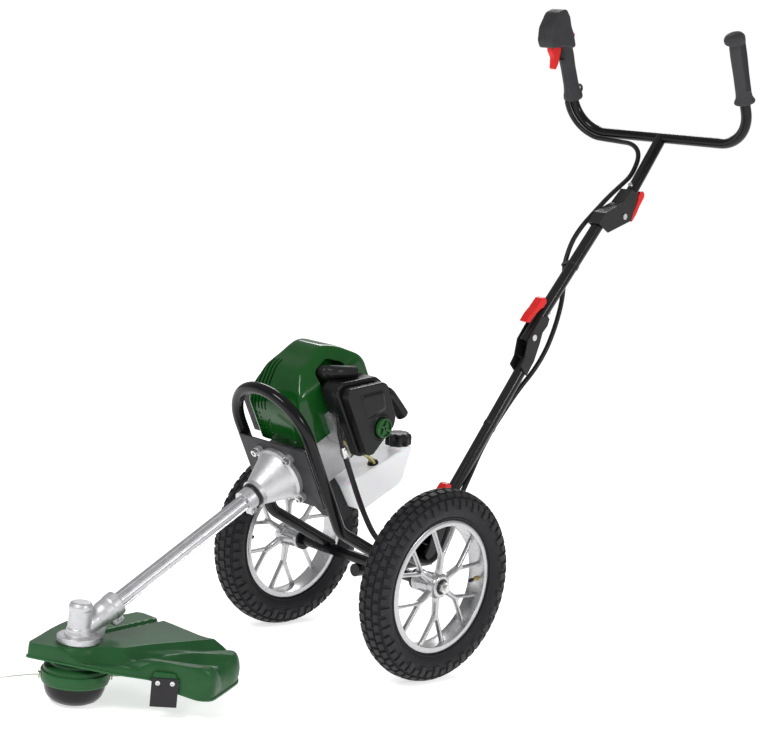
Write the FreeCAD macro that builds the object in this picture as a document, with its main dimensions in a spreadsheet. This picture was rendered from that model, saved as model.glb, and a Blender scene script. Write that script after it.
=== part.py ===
"""Wheeled brush cutter: a two-stroke engine on a two-wheeled frame with a folding handlebar.

Frame of the whole model: +Z up, the trimmer head towards -Y, the machine's left side towards +X,
the origin on the ground under the middle of the machine. All sizes are in millimetres.
"""
import FreeCAD, Part
import math
import os
import re
import Sketcher

Vector = FreeCAD.Vector
Rotation = FreeCAD.Rotation
Placement = FreeCAD.Placement

SIZES = {
    # stance
    "axle_shift": -20.4,            # axle's place along Y in the model frame
    "crank_tilt": 30.0,           # slope of the engine and shaft axis, degrees
    "crank_offset": 424.0,        # distance of that axis from the ground point under the axle
    # wheels
    "wheel_radius": 180.0,
    "tyre_width": 58.0,
    "track_half": 200.5,
    "seat_radius": 116.0,
    "flange_radius": 124.3,
    "rim_half": 20.0,
    "rim_wall": 3.0,
    "hub_radius": 20.0,
    "hub_outer": 18.0,
    "hub_inner": -42.0,
    "spoke_count": 6.0,
    "spoke_width": 8.0,
    "spoke_depth": 10.0,
    "spoke_fork": 60.0,
    "spoke_spread": 15.0,
    "axle_radius": 6.0,
    "axle_half": 233.0,
    "bearing_radius": 14.0,
    "bearing_width": 8.0,
    "running_gap": 0.05,
    # frame tubes
    "beam_radius": 11.0,
    "beam_half": 153.0,
    "beam_flange_radius": 20.0,
    "beam_flange": 4.5,
    "hoop_tube_radius": 11.0,
    "hoop_half": 92.0,
    "hoop_station": 4.0,
    "hoop_apex": 172.0,
    "hoop_foot": -119.0,
    "hoop_bend": 45.0,
    "tube_wall": 2.0,
    # engine mount and shaft
    "plate_left": 88.0,
    "plate_right": 90.0,
    "plate_top": 64.0,
    "plate_bottom": -60.0,
    "plate_thickness": 3.0,
    "plate_station": -10.0,
    "mount_bolt_pitch": 41.5,
    "mount_bolt_radius": 4.0,
    "cone_big": 51.0,
    "cone_small": 26.0,
    "cone_length": 72.0,
    "cone_wall": 4.0,
    "shaft_tube_radius": 14.0,
    "shaft_tube_bore": 12.0,
    "collar_radius": 20.0,
    "collar_length": 20.0,
    "drive_radius": 4.0,
    # gear head
    "head_reach": -641.0,
    "gear_height": 119.5,
    "barrel_radius": 19.0,
    "barrel_top": 172.0,
    "flange_disc_radius": 35.5,
    "flange_disc_bottom": 104.0,
    "spindle_radius": 5.0,
    # trimmer head
    "head_radius": 57.0,
    "head_top": 74.0,
    "head_split": 34.0,
    "knob_radius": 51.0,
    "knob_travel": 8.0,
    "line_radius": 1.2,
    "line_reach": 136.0,
    # guard
    "guard_deck": 104.0,
    "guard_wall": 3.0,
    # column
    "column_tube_radius": 12.5,
    "lower_angle": 54.8,
    "middle_angle": 51.5,
    "upper_angle": 55.9,
    "base_pin_y": 201.0,
    "base_pin_z": 229.0,
    "lower_pin_y": 427.0,
    "lower_pin_z": 604.0,
    "upper_pin_y": 681.0,
    "upper_pin_z": 862.0,
    "lower_length": 399.0,
    "middle_length": 315.0,
    "tube_tail": 16.0,
    "channel_inside": 26.0,
    "channel_sheet": 2.5,
    "pin_radius": 4.0,
    "clamp_station": 72.0,
    "clamp_offset": 24.0,
    # handlebar
    "bar_radius": 11.0,
    "bar_y": 799.0,
    "bar_z": 1036.0,
    "bar_half": 228.0,
    "bar_lean": 25.6,
    "bar_rise": 240.0,
    "bar_bend": 75.0,
    "shell_half": 22.0,
    # cables
    "cable_radius": 5.0,
    "cable_split": 1.5,
    "hose_radius": 2.6,
}

doc = FreeCAD.newDocument("brush_cutter")
sheet = doc.addObject("Spreadsheet::Sheet", "Sizes")
for row, (alias, value) in enumerate(SIZES.items(), start=1):
    sheet.set(f"A{row}", alias.replace("_", " "))
    sheet.set(f"B{row}", repr(value))
    sheet.setAlias(f"B{row}", alias)
doc.recompute()

nodes = {}


def size(alias):
    """A driving dimension, read back from the sheet."""
    return float(sheet.get(alias))


def bound(text):
    """An expression in which each sheet alias is written with the sheet's name."""
    return re.sub(r"[a-z][a-z_]+", lambda word: "Sizes." + word.group() if word.group() in SIZES
                  else word.group(), str(text))


def number(text):
    """The present value of an expression in sheet aliases, found by the document itself."""
    return float(sheet.evalExpression(bound(text)))


# ---------------------------------------------------------------- frames of reference

def machine(x, y, z, rotation=Rotation()):
    """A placement given from the ground point under the axle."""
    return Placement(Vector(x, y + size("axle_shift"), z), rotation)


TILT = Rotation(Vector(1, 0, 0), size("crank_tilt"))
ALONG_SHAFT = Rotation(Vector(1, 0, 0), -90)
LEFTWARD = Rotation(Vector(0, 1, 0), 90)
RIGHTWARD = Rotation(Vector(0, 1, 0), -90)


def engine(x, station, height, rotation=Rotation()):
    """A placement in the engine's frame: station runs back along the crank, height is square to it."""
    local = Placement(Vector(x, station, height), rotation)
    origin = TILT.multVec(Vector(0, 0, size("crank_offset")))
    return machine(origin.x, origin.y, origin.z, TILT).multiply(local)


def column(joint, angle, along=0.0, back=0.0, x=0.0, rotation=Rotation()):
    """A placement on a column tube: local Z runs up the tube and local Y points behind it."""
    lean = Rotation(Vector(1, 0, 0), size(angle) - 90)
    base = machine(0, size(joint + "_y"), size(joint + "_z"), lean)
    return base.multiply(Placement(Vector(x, back, along), rotation))


def handle(side, rise, forward=0.0, rotation=Rotation()):
    """A placement on one upright end of the handlebar: local Z runs up it, local Y points behind it."""
    lean = Rotation(Vector(1, 0, 0), size("bar_lean"))
    base = machine(side * size("bar_half"), size("bar_y"), size("bar_z"), lean)
    return base.multiply(Placement(Vector(0, -forward, rise), rotation))


# ---------------------------------------------------------------- ways to build a piece

def keep(item, label):
    """Makes an object one of the named sub-parts."""
    item.Label = label
    nodes[label] = item
    return item


def primitive(kind, label, placement, **sizes):
    """A Part primitive whose properties follow expressions in the sheet's aliases."""
    item = doc.addObject("Part::" + kind, label)
    for name, text in sizes.items():
        item.setExpression(name, bound(text))
    item.Placement = placement
    return item


def cylinder(label, placement, radius, height):
    return primitive("Cylinder", label, placement, Radius=radius, Height=height)


def box(label, placement, length, width, height):
    """A box centred on its placement in X and Y, standing on it in Z."""
    item = primitive("Box", label, placement, Length=length, Width=width, Height=height)
    corner = Placement(Vector(-number(length) / 2, -number(width) / 2, 0), Rotation())
    item.Placement = placement.multiply(corner)
    return item


def joined(label, *pieces):
    item = doc.addObject("Part::MultiFuse", label)
    item.Shapes = list(pieces)
    return item


def cut(label, base, *tools):
    """The base less every tool."""
    tool = tools[0] if len(tools) == 1 else joined(label + "_tools", *tools)
    item = doc.addObject("Part::Cut", label)
    item.Base = base
    item.Tool = tool
    return item


def group(label, *pieces):
    """Identical or loose pieces that share one node as separate solids."""
    item = doc.addObject("Part::Compound", label)
    item.Links = list(pieces)
    return item


def made(label, shape, placement=Placement()):
    """A shape that no primitive or feature gives, such as a bent tube."""
    item = doc.addObject("Part::Feature", label)
    item.Shape = shape
    item.Placement = placement
    return item


def origin_plane(body, role):
    return next(plane for plane in body.Origin.OriginFeatures if plane.Role == role)


def add_loop(sketch, corners, prefix):
    """Draws a closed polygon and ties every corner to the sheet."""
    first = sketch.GeometryCount
    count = len(corners)
    places = [Vector(number(x), number(y), 0) for x, y in corners]
    for index in range(count):
        sketch.addGeometry(Part.LineSegment(places[index], places[(index + 1) % count]), False)
    for index in range(count):
        following = first + (index + 1) % count
        sketch.addConstraint(Sketcher.Constraint("Coincident", first + index, 2, following, 1))
    for index, (x, y) in enumerate(corners):
        for direction, text, value in (("X", x, places[index].x), ("Y", y, places[index].y)):
            row = sketch.addConstraint(
                Sketcher.Constraint("Distance" + direction, -1, 1, first + index, 1, value))
            name = f"{prefix}{index}{direction}"
            sketch.renameConstraint(row, name)
            if re.search("[a-z]", str(text)):
                sketch.setExpression("Constraints." + name, bound(text))


def add_hole(sketch, x, y, radius, name):
    circle = sketch.addGeometry(Part.Circle(Vector(number(x), number(y), 0), Vector(0, 0, 1),
                                            number(radius)), False)
    sketch.addConstraint(Sketcher.Constraint("DistanceX", -1, 1, circle, 3, number(x)))
    sketch.addConstraint(Sketcher.Constraint("DistanceY", -1, 1, circle, 3, number(y)))
    row = sketch.addConstraint(Sketcher.Constraint("Radius", circle, number(radius)))
    sketch.renameConstraint(row, name)
    sketch.setExpression("Constraints." + name, bound(radius))


def new_sketch(body, label, plane):
    sketch = body.newObject("Sketcher::SketchObject", label)
    sketch.AttachmentSupport = [(origin_plane(body, plane), "")]
    sketch.MapMode = "FlatFace"
    return sketch


def turned(label, profile, placement):
    """A body turned about its own Z axis from a closed profile of (radius, height) corners."""
    body = doc.addObject("PartDesign::Body", label)
    sketch = new_sketch(body, label + "_profile", "XZ_Plane")
    add_loop(sketch, profile, "p")
    turn = body.newObject("PartDesign::Revolution", label + "_turn")
    turn.Profile = sketch
    turn.ReferenceAxis = (sketch, ["V_Axis"])
    turn.Angle = 360
    body.Placement = placement
    return body


def plate(label, outline, thickness, placement, plane="XY_Plane", holes=(), centred=False):
    """A body padded square to a plane from a closed outline, with round holes."""
    body = doc.addObject("PartDesign::Body", label)
    sketch = new_sketch(body, label + "_outline", plane)
    add_loop(sketch, outline, "p")
    for index, (x, y, radius) in enumerate(holes):
        add_hole(sketch, x, y, radius, f"hole{index}")
    pad = body.newObject("PartDesign::Pad", label + "_pad")
    pad.Profile = sketch
    pad.setExpression("Length", bound(thickness))
    if centred:
        pad.SideType = "Symmetric"
    body.Placement = placement
    return body


def channel(label, cheek, inside, placement):
    """A folded sheet channel: two cheeks and the web that the inside pocket leaves between them."""
    body = plate(label, cheek, "channel_inside + 2 * channel_sheet", placement, "YZ_Plane",
                 [("0", "0", "pin_radius")], centred=True)
    solid_volume = settled_volume(body)
    sketch = new_sketch(body, label + "_inside", "YZ_Plane")
    add_loop(sketch, inside, "q")
    pocket = body.newObject("PartDesign::Pocket", label + "_pocket")
    pocket.Profile = sketch
    pocket.setExpression("Length", bound("channel_inside"))
    pocket.SideType = "Symmetric"
    if settled_volume(body) > 0.6 * solid_volume:
        raise RuntimeError(label + ": the pocket took too little away")
    return body


def settled_volume(body):
    doc.recompute()
    return body.Shape.Volume


def route_wire(points, radii):
    """Straight runs joined by tangent arcs, one radius for each inner corner."""
    edges = []
    start = points[0]
    for index in range(1, len(points) - 1):
        before = (points[index - 1] - points[index]).normalize()
        after = (points[index + 1] - points[index]).normalize()
        turn = math.pi - before.getAngle(after)
        reach = radii[index - 1] * math.tan(turn / 2)
        arc_start = points[index] + before * reach
        arc_end = points[index] + after * reach
        middle_way = (before + after).normalize()
        sagitta = radii[index - 1] * (1 / math.cos(turn / 2) - 1)
        if (arc_start - start).Length > 1e-6:
            edges.append(Part.LineSegment(start, arc_start).toShape())
        edges.append(Part.Arc(arc_start, points[index] + middle_way * sagitta, arc_end).toShape())
        start = arc_end
    edges.append(Part.LineSegment(start, points[-1]).toShape())
    return Part.Wire(edges)


def swept(wire, radius):
    """A round bar that follows a wire."""
    first = wire.Edges[0]
    start = first.valueAt(first.FirstParameter)
    heading = first.tangentAt(first.FirstParameter)
    ring = Part.Wire([Part.makeCircle(radius, start, heading)])
    return wire.makePipeShell([ring], True, True)


def cord_shape(label, points, radius):
    """A limp round cord whose every arc is as large as its two runs allow."""
    radii = []
    for index in range(1, len(points) - 1):
        before = points[index - 1] - points[index]
        after = points[index + 1] - points[index]
        turn = math.pi - before.getAngle(after)
        radii.append(0.45 * min(before.Length, after.Length) / math.tan(turn / 2))
    wire = route_wire(points, radii)
    solid = swept(wire, radius)
    section = math.pi * radius ** 2 * wire.Length
    print(f"{label}: length {wire.Length:.0f} mm, smallest arc {min(radii):.0f} mm,"
          f" volume over section times length {solid.Volume / section:.4f}")
    return solid


def shifted(points):
    """Route points given from the ground point under the axle, moved to the model frame."""
    return [Vector(x, y + size("axle_shift"), z) for x, y, z in points]


# ---------------------------------------------------------------- wheels and axle

def build_wheel(side, direction, turn_outward):
    hub = machine(direction * size("track_half"), 0, size("wheel_radius"), turn_outward)
    tyre = turned("tyre_" + side, [
        ("seat_radius + 0.3", "10"), ("seat_radius + 0.3", "rim_half - 2.8"),
        ("flange_radius + 0.7", "rim_half - 2.8"), ("136", "tyre_width / 2 - 3"),
        ("152", "tyre_width / 2"), ("170", "tyre_width / 2 - 1.5"),
        ("wheel_radius - 2", "21"), ("wheel_radius", "12"),
        ("wheel_radius", "-12"), ("wheel_radius - 2", "-21"),
        ("170", "1.5 - tyre_width / 2"), ("152", "-tyre_width / 2"),
        ("136", "3 - tyre_width / 2"), ("flange_radius + 0.7", "2.8 - rim_half"),
        ("seat_radius + 0.3", "2.8 - rim_half"), ("seat_radius + 0.3", "-10"),
        ("128", "-12"), ("140", "-20"), ("152", "-23"), ("166", "-21.5"), ("172", "-10"),
        ("172", "10"), ("166", "21.5"), ("152", "23"), ("140", "20"), ("128", "12"),
    ], hub)
    keep(tyre, "tyre_" + side)
    keep(build_rim(side, hub), "rim_" + side)


def build_rim(side, hub):
    """One casting: deep barrel rim, forked spokes and the long hub with its bearing seats."""
    name = "rim_" + side
    barrel = turned(name + "_barrel", [
        ("seat_radius - rim_wall", "rim_half"), ("flange_radius", "rim_half"),
        ("flange_radius", "rim_half - 2.5"), ("seat_radius", "rim_half - 2.5"),
        ("seat_radius", "2.5 - rim_half"), ("flange_radius", "2.5 - rim_half"),
        ("flange_radius", "-rim_half"), ("seat_radius - rim_wall", "-rim_half"),
    ], hub)
    seat = "bearing_radius + running_gap"
    hub_body = turned(name + "_hub", [
        (seat, "hub_inner"), ("hub_radius", "hub_inner"), ("hub_radius", "hub_outer"),
        (seat, "hub_outer"), (seat, "hub_outer - bearing_width - 1"),
        ("axle_radius + 3", "hub_outer - bearing_width - 1"),
        ("axle_radius + 3", "hub_inner + bearing_width + 1"),
        (seat, "hub_inner + bearing_width + 1"),
    ], hub)
    pieces = [barrel, hub_body]
    stem_start = size("hub_radius") - 1.5
    for index in range(int(size("spoke_count"))):
        ray = Rotation(Vector(0, 0, 1), index * 360 / size("spoke_count"))
        spoke = hub.multiply(Placement(Vector(0, 0, 3), ray))
        outward = Rotation(Vector(0, 1, 0), 90)
        stem = box(f"{name}_stem{index}", spoke.multiply(Placement(Vector(stem_start, 0, 5), outward)),
                   "spoke_depth", "spoke_width", "spoke_fork - hub_radius + 3")
        pieces.append(stem)
        fork = Vector(size("spoke_fork") - 4, 0, 5)
        for hand in (-1, 1):
            spread = math.radians(hand * size("spoke_spread"))
            reach = size("seat_radius") - size("rim_wall") + 1.5
            foot = Vector(reach * math.cos(spread), reach * math.sin(spread), 5)
            arm_turn = Rotation(Vector(0, 0, 1), foot - fork)
            arm = box(f"{name}_arm{index}_{hand + 1}",
                      spoke.multiply(Placement(fork, arm_turn)),
                      "spoke_width - 1", "spoke_width - 1", str((foot - fork).Length))
            pieces.append(arm)
    return joined(name + "_casting", *pieces)


def build_axle():
    height = size("wheel_radius")
    half = size("axle_half")
    rod = cylinder("axle_shaft", machine(-half, 0, height, LEFTWARD), "axle_radius", "2 * axle_half")
    nuts = []
    for index, direction in enumerate((-1, 1)):
        face = direction * (size("track_half") + size("hub_outer") + 0.5)
        turn = LEFTWARD if direction > 0 else RIGHTWARD
        blank = primitive("Prism", f"axle_nut{index}", machine(face, 0, height, turn),
                          Circumradius="11", Height="9")
        blank.Polygon = 6
        bore = cylinder(f"axle_nut_bore{index}", machine(face - 1, 0, height, turn)
                        if direction > 0 else machine(face + 1, 0, height, turn),
                        "axle_radius", "12")
        nuts.append(cut(f"axle_nut_cut{index}", blank, bore))
    keep(group("axle_rod_group", rod, *nuts), "axle_rod")


def build_bearings():
    rings = []
    ends = {"outer": size("hub_outer") - size("bearing_width"), "inner": size("hub_inner")}
    for direction, turn in ((1, LEFTWARD), (-1, RIGHTWARD)):
        for name, station in ends.items():
            place = machine(direction * (size("track_half") + station), 0, size("wheel_radius"), turn)
            rings.append(turned(f"bearing_{name}_{'left' if direction > 0 else 'right'}", [
                ("axle_radius", "0"), ("bearing_radius", "0"),
                ("bearing_radius", "bearing_width"), ("axle_radius", "bearing_width"),
            ], place))
    keep(group("bearing_group", *rings), "wheel_bearings")


LOWER_CHEEK = [("-18", "-70"), ("-9", "-79"), ("10", "-49"), ("22", "-12"), ("27", "10"),
               ("40", "24"), ("44", "38"), ("38", "44"), ("18", "43"), ("-16", "-6"),
               ("-20", "-41"), ("-30", "-59")]
LOWER_INSIDE = [("-60", "-100"), ("30", "-100"), ("30", "-46"), ("8.3", "-46"), ("19.5", "-12"),
                ("24.4", "10.6"), ("37", "25"), ("60", "10"), ("60", "70"), ("-60", "70")]


def build_axle_beam():
    """The welded cross member: axle tube, two end flanges, the rear spine and the base channel."""
    height = size("wheel_radius")
    half = size("beam_half")
    beam = cylinder("beam_tube", machine(-half, 0, height, LEFTWARD), "beam_radius", "2 * beam_half")
    flanges = [cylinder(f"beam_flange{index}", machine(start, 0, height, LEFTWARD),
                        "beam_flange_radius", "beam_flange")
               for index, start in enumerate((-half - size("beam_flange"), half))]
    drop = height - size("beam_radius") - size("column_tube_radius") + 1
    lean = math.radians(size("lower_angle"))
    top = Vector(0, size("base_pin_y") + 4, size("base_pin_z") - 49)
    corner = Vector(0, top.y - (top.z - drop) / math.tan(lean), drop)
    spine_path = shifted([(0, -8, drop), tuple(corner), tuple(top)])
    spine = made("spine_tube", swept(route_wire(spine_path, [28]), size("column_tube_radius")))
    base = channel("base_channel", LOWER_CHEEK, LOWER_INSIDE,
                   machine(0, size("base_pin_y"), size("base_pin_z")))
    weld = cylinder("base_weld", machine(-13.5, size("base_pin_y") - 5.5, size("base_pin_z") - 62, LEFTWARD),
                    "7", "27")
    bore = cylinder("beam_bore", machine(-200, 0, height, LEFTWARD), "axle_radius", "400")
    keep(cut("beam_weldment", joined("beam_solid", beam, *flanges, spine, base, weld), bore), "axle_beam")


def build_hoop():
    """The round-topped front hoop, its two legs bent back and coped to the axle beam."""
    half = size("hoop_half")
    station = size("hoop_station")
    centre = size("hoop_apex") - half
    local = engine(0, station, 0)
    corners = [Vector(half, 0, size("hoop_foot")), Vector(half, 0, centre),
               Vector(-half, 0, centre), Vector(-half, 0, size("hoop_foot"))]
    legs = [local.multVec(corner) for corner in corners]
    foot_y = size("axle_shift") + 14
    foot_z = size("wheel_radius") + 4
    arch_left = local.multVec(Vector(half, 0, centre))
    arch_top = local.multVec(Vector(0, 0, centre + half))
    arch_right = local.multVec(Vector(-half, 0, centre))
    edges = []
    left_wire = route_wire([Vector(half, foot_y, foot_z), legs[0], arch_left], [size("hoop_bend")])
    right_wire = route_wire([arch_right, legs[3], Vector(-half, foot_y, foot_z)], [size("hoop_bend")])
    edges += left_wire.Edges
    edges.append(Part.Arc(arch_left, arch_top, arch_right).toShape())
    edges += right_wire.Edges
    wire = Part.Wire(edges)
    tube = swept(wire, size("hoop_tube_radius"))
    room = Part.makeCylinder(size("beam_radius") + 0.05, 400,
                             Vector(-200, size("axle_shift"), size("wheel_radius")), Vector(1, 0, 0))
    coped = sorted(tube.cut(room).Solids, key=lambda solid: solid.Volume)[-1]
    keep(made("hoop_tube", coped), "main_hoop")


# ---------------------------------------------------------------- engine mount and shaft

def build_mount():
    pitch = "mount_bolt_pitch"
    holes = [(f"{a} * {pitch}", f"{b} * {pitch}", "mount_bolt_radius")
             for a in (-1, 1) for b in (-1, 1)] + [("0", "0", "44")]
    sheet_metal = plate("mount_sheet", [
        ("-plate_right", "plate_bottom"), ("plate_left", "plate_bottom"),
        ("plate_left", "plate_top"), ("-plate_right", "plate_top"),
    ], "plate_thickness", engine(0, size("plate_station") + size("plate_thickness"), 0,
                                 Rotation(Vector(1, 0, 0), 90)), holes=holes)
    keep(sheet_metal, "mount_plate")


def build_shaft_parts():
    """The parts that turn about the crank line, each with its own Z axis along that line."""
    front = size("plate_station") - size("cone_length")
    cone = turned("cone_shell", [
        ("shaft_tube_radius", "0"), ("cone_small", "0"), ("cone_small", "8"),
        ("cone_big - 3", "cone_length - 12"), ("cone_big + 1", "cone_length - 8"),
        ("cone_big + 1", "cone_length"), ("cone_big - 7", "cone_length"),
        ("cone_big - 7", "cone_length - 12"), ("cone_small - cone_wall", "16"),
        ("shaft_tube_radius", "16"),
    ], engine(0, front, 0, ALONG_SHAFT))
    ears = []
    for index, (a, b) in enumerate(((-1, -1), (-1, 1), (1, -1), (1, 1))):
        pitch = size("mount_bolt_pitch")
        ears.append(cylinder(f"cone_ear{index}",
                             engine(a * pitch * 0.97, size("plate_station") - 9, b * pitch * 0.97, ALONG_SHAFT),
                             "9", "9"))
    hollow = turned("cone_hollow", [
        ("0", "17"), ("cone_small - cone_wall", "17"), ("cone_big - 7.2", "cone_length - 12"),
        ("cone_big - 7.2", "cone_length + 1"), ("0", "cone_length + 1"),
    ], engine(0, front, 0, ALONG_SHAFT))
    holes = [cylinder(f"cone_hole{index}",
                      engine(a * size("mount_bolt_pitch"), size("plate_station") - 30,
                             b * size("mount_bolt_pitch"), ALONG_SHAFT),
                      "mount_bolt_radius", "40")
             for index, (a, b) in enumerate(((-1, -1), (-1, 1), (1, -1), (1, 1)))]
    keep(cut("cone_casting", joined("cone_solid", cone, *ears), hollow, *holes), "clutch_housing")
    collar = turned("collar_ring", [
        ("shaft_tube_radius", "0"), ("collar_radius", "0"),
        ("collar_radius", "collar_length"), ("shaft_tube_radius", "collar_length"),
    ], engine(0, front - 6 - size("collar_length"), 0, ALONG_SHAFT))
    lug = box("collar_lug", engine(0, front - 16, -28), "16", "14", "12")
    lug_bore = cylinder("collar_lug_bore", engine(0, front - 30, 0, ALONG_SHAFT),
                        "shaft_tube_radius", "40")
    screw_room = cylinder("collar_screw_room", engine(-12, front - 16, -23, LEFTWARD), "2.5", "24")
    keep(cut("collar_clamp", joined("collar_solid", collar, lug), lug_bore, screw_room), "shaft_collar")

    tube_front = -447.0
    tube_end = front + 15
    tube = turned("shaft_sleeve", [
        ("shaft_tube_bore", "0"), ("shaft_tube_radius", "0"),
        ("shaft_tube_radius", str(tube_end - tube_front)),
        ("shaft_tube_bore", str(tube_end - tube_front)),
    ], engine(0, tube_front, 0, ALONG_SHAFT))
    keep(tube, "shaft_tube")

    drum_floor = -35.0
    apex = engine(0, 0, 0).inverse().multVec(
        machine(0, size("head_reach"), size("gear_height")).Base).y + 0.1
    drive = turned("drive_core", [
        ("0", "7"), ("7.1", "7"), ("10.7", "10.6"), ("9", "14"), ("drive_radius", "14"),
        ("drive_radius", str(drum_floor - apex)), ("0", str(drum_floor - apex)),
    ], engine(0, apex, 0, ALONG_SHAFT))
    keep(drive, "drive_shaft")
    drum = turned("drum_cup", [
        ("drive_radius", "0"), ("34", "0"), ("34", "24"), ("31.5", "24"), ("31.5", "3"),
        ("drive_radius", "3"),
    ], engine(0, drum_floor - 3, 0, ALONG_SHAFT))
    keep(drum, "clutch_drum")


def build_crank():
    """Crankshaft with the clutch shoes in front and the bladed flywheel behind the mount plate."""
    shoes = turned("crank_shoes", [
        ("6", "0"), ("30.5", "0"), ("30.5", "15"), ("6", "15"),
    ], engine(0, -32, 0, ALONG_SHAFT))
    slots = [box(f"shoe_gap{index}", engine(0, -32, 0, ALONG_SHAFT).multiply(
        Placement(Vector(), Rotation(Vector(0, 0, 1), 90 * index + 45))).multiply(
        Placement(Vector(27, 0, -1), Rotation())), "30", "3", "17") for index in range(4)]
    fly = turned("crank_flywheel", [
        ("6", "0"), ("40", "0"), ("40", "12"), ("6", "12"),
    ], engine(0, -3, 0, ALONG_SHAFT))
    blades = [box(f"fan_blade{index}", engine(0, 8, 0, ALONG_SHAFT).multiply(
        Placement(Vector(), Rotation(Vector(0, 0, 1), 30 * index))).multiply(
        Placement(Vector(30, 0, 0), Rotation())), "18", "2", "7") for index in range(12)]
    shaft = cylinder("crank_core", engine(0, -32, 0, ALONG_SHAFT), "7", "144")
    keep(joined("crank_solid", cut("shoe_cut", shoes, *slots), fly, shaft, *blades), "crankshaft")


# ---------------------------------------------------------------- gear head, guard and trimmer head

def build_gear_head():
    reach = size("head_reach")
    centre = size("gear_height")
    barrel = turned("gear_barrel", [
        ("0", "flange_disc_bottom"), ("flange_disc_radius", "flange_disc_bottom"),
        ("flange_disc_radius", "flange_disc_bottom + 8"), ("barrel_radius + 3", "flange_disc_bottom + 10"),
        ("barrel_radius", "flange_disc_bottom + 14"), ("barrel_radius", "barrel_top - 4"),
        ("barrel_radius - 4", "barrel_top"), ("0", "barrel_top"),
    ], machine(0, reach, 0))
    shaft_start = engine(0, 0, 0).inverse().multVec(machine(0, reach, centre).Base).y
    sleeve = turned("gear_sleeve", [
        ("0", "4"), ("17", "4"), ("17", "40"), ("20.5", "52"), ("20.5", "86"), ("0", "86"),
    ], engine(0, shaft_start, 0, ALONG_SHAFT))
    lug = box("gear_lug", engine(0, shaft_start + 74, -30), "15", "18", "14")
    cavity = turned("gear_cavity", [
        ("0", "flange_disc_bottom + 5"), ("15", "flange_disc_bottom + 5"),
        ("15", "barrel_top - 10"), ("0", "barrel_top - 10"),
    ], machine(0, reach, 0))
    bore = turned("gear_bore", [
        ("0", "6"), ("13.5", "6"), ("13.5", "45"), ("shaft_tube_radius", "45"),
        ("shaft_tube_radius", "88"), ("0", "88"),
    ], engine(0, shaft_start, 0, ALONG_SHAFT))
    spindle_room = cylinder("gear_spindle_room", machine(0, reach, 80),
                            "spindle_radius + running_gap", "30")
    screw_room = cylinder("gear_screw_room", engine(-12, shaft_start + 74, -24, LEFTWARD), "2.5", "24")
    keep(cut("gear_casting", joined("gear_solid", barrel, sleeve, lug),
             cavity, bore, spindle_room, screw_room), "gear_case")

    spindle = turned("spindle_core", [
        ("0", "52"), ("spindle_radius", "52"), ("spindle_radius", "gear_height - 7"),
        ("13", "gear_height - 7"), ("14.5", "gear_height - 4"), ("9.6", "gear_height - 2.65"),
        ("0", "gear_height - 2.65"),
    ], machine(0, reach, 0))
    keep(spindle, "output_spindle")


GUARD_OUTLINE = [(-33, -79), (-85, 2), (-112, 58), (-125, 123), (-98, 204), (-19, 209), (78, 211),
                 (118, 244), (150, 232), (192, 128), (186, 92), (150, 78), (112, 40), (62, -18)]


def build_guard():
    """The debris shield: a ribbed deck over the cutting circle, deeper in a scoop at its left end."""
    reach = size("head_reach")
    deck = size("guard_deck")
    wall = size("guard_wall")

    def prism(points, low, high):
        corners = [Vector(x, y + reach + size("axle_shift"), low) for x, y in points]
        return Part.Face(Part.makePolygon(corners + corners[:1])).extrude(Vector(0, 0, high - low))

    def inset(points, amount):
        centre = Vector(sum(x for x, y in points) / len(points), sum(y for x, y in points) / len(points), 0)
        result = []
        for x, y in points:
            toward = centre - Vector(x, y, 0)
            toward.normalize()
            result.append((x + toward.x * amount, y + toward.y * amount))
        return result

    inner = inset(GUARD_OUTLINE, 1.5 * wall)
    shell = prism(GUARD_OUTLINE, 78, deck).cut(prism(inner, 70, deck - wall))
    scoop = [(70, 40), (62, 205), (78, 211), (118, 244), (150, 232), (192, 128), (186, 92), (150, 78), (112, 40)]
    scoop_shell = prism(scoop, 36, deck - 8).cut(prism(inset(scoop, 1.5 * wall), 30, deck - 8 - wall))
    scoop_shell = scoop_shell.cut(prism([(40, 30), (40, 203), (80, 203), (109, 38)], 30, deck - wall))
    ribs = [prism([(20, 20 + 50 * k), (24, 20 + 50 * k), (70, 150 + 20 * k), (64, 152 + 20 * k)],
                  deck - 2, deck + 3) for k in range(3)]
    whole = shell.fuse([scoop_shell] + ribs).removeSplitter()
    top = Vector(0, reach + size("axle_shift"), 0)
    spindle_room = Part.makeCylinder(22, 60, top + Vector(0, 0, 60))
    flange_room = Part.makeCylinder(size("flange_disc_radius") + 1, 20, top + Vector(0, 0, deck))
    line_room = Part.makeCylinder(size("line_reach") + 4, 24, top + Vector(0, 0, 30))
    whole = whole.cut([spindle_room, flange_room, line_room])
    for index in range(4):
        angle = math.radians(45 + 90 * index)
        hole = Part.makeCylinder(2.5, 60, top + Vector(27 * math.cos(angle), 27 * math.sin(angle), 60))
        whole = whole.cut(hole)
    blade_turn = Rotation(Vector(0, 0, 1), 52)
    blade = box("cutter_blade", machine(141, reach + 76, 22, blade_turn), "44", "2.5", "48")
    doc.recompute()
    whole = whole.cut(blade.Shape)
    keep(made("guard_moulding", sorted(whole.Solids, key=lambda solid: solid.Volume)[-1]), "debris_guard")
    keep(blade, "line_cutter")


LINE_ROUTE = [(-24.2, -40.3), (-36, -60), (-43, -95), (-46, -126)]
LINE_OUTLETS = (-121, 59)


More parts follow.
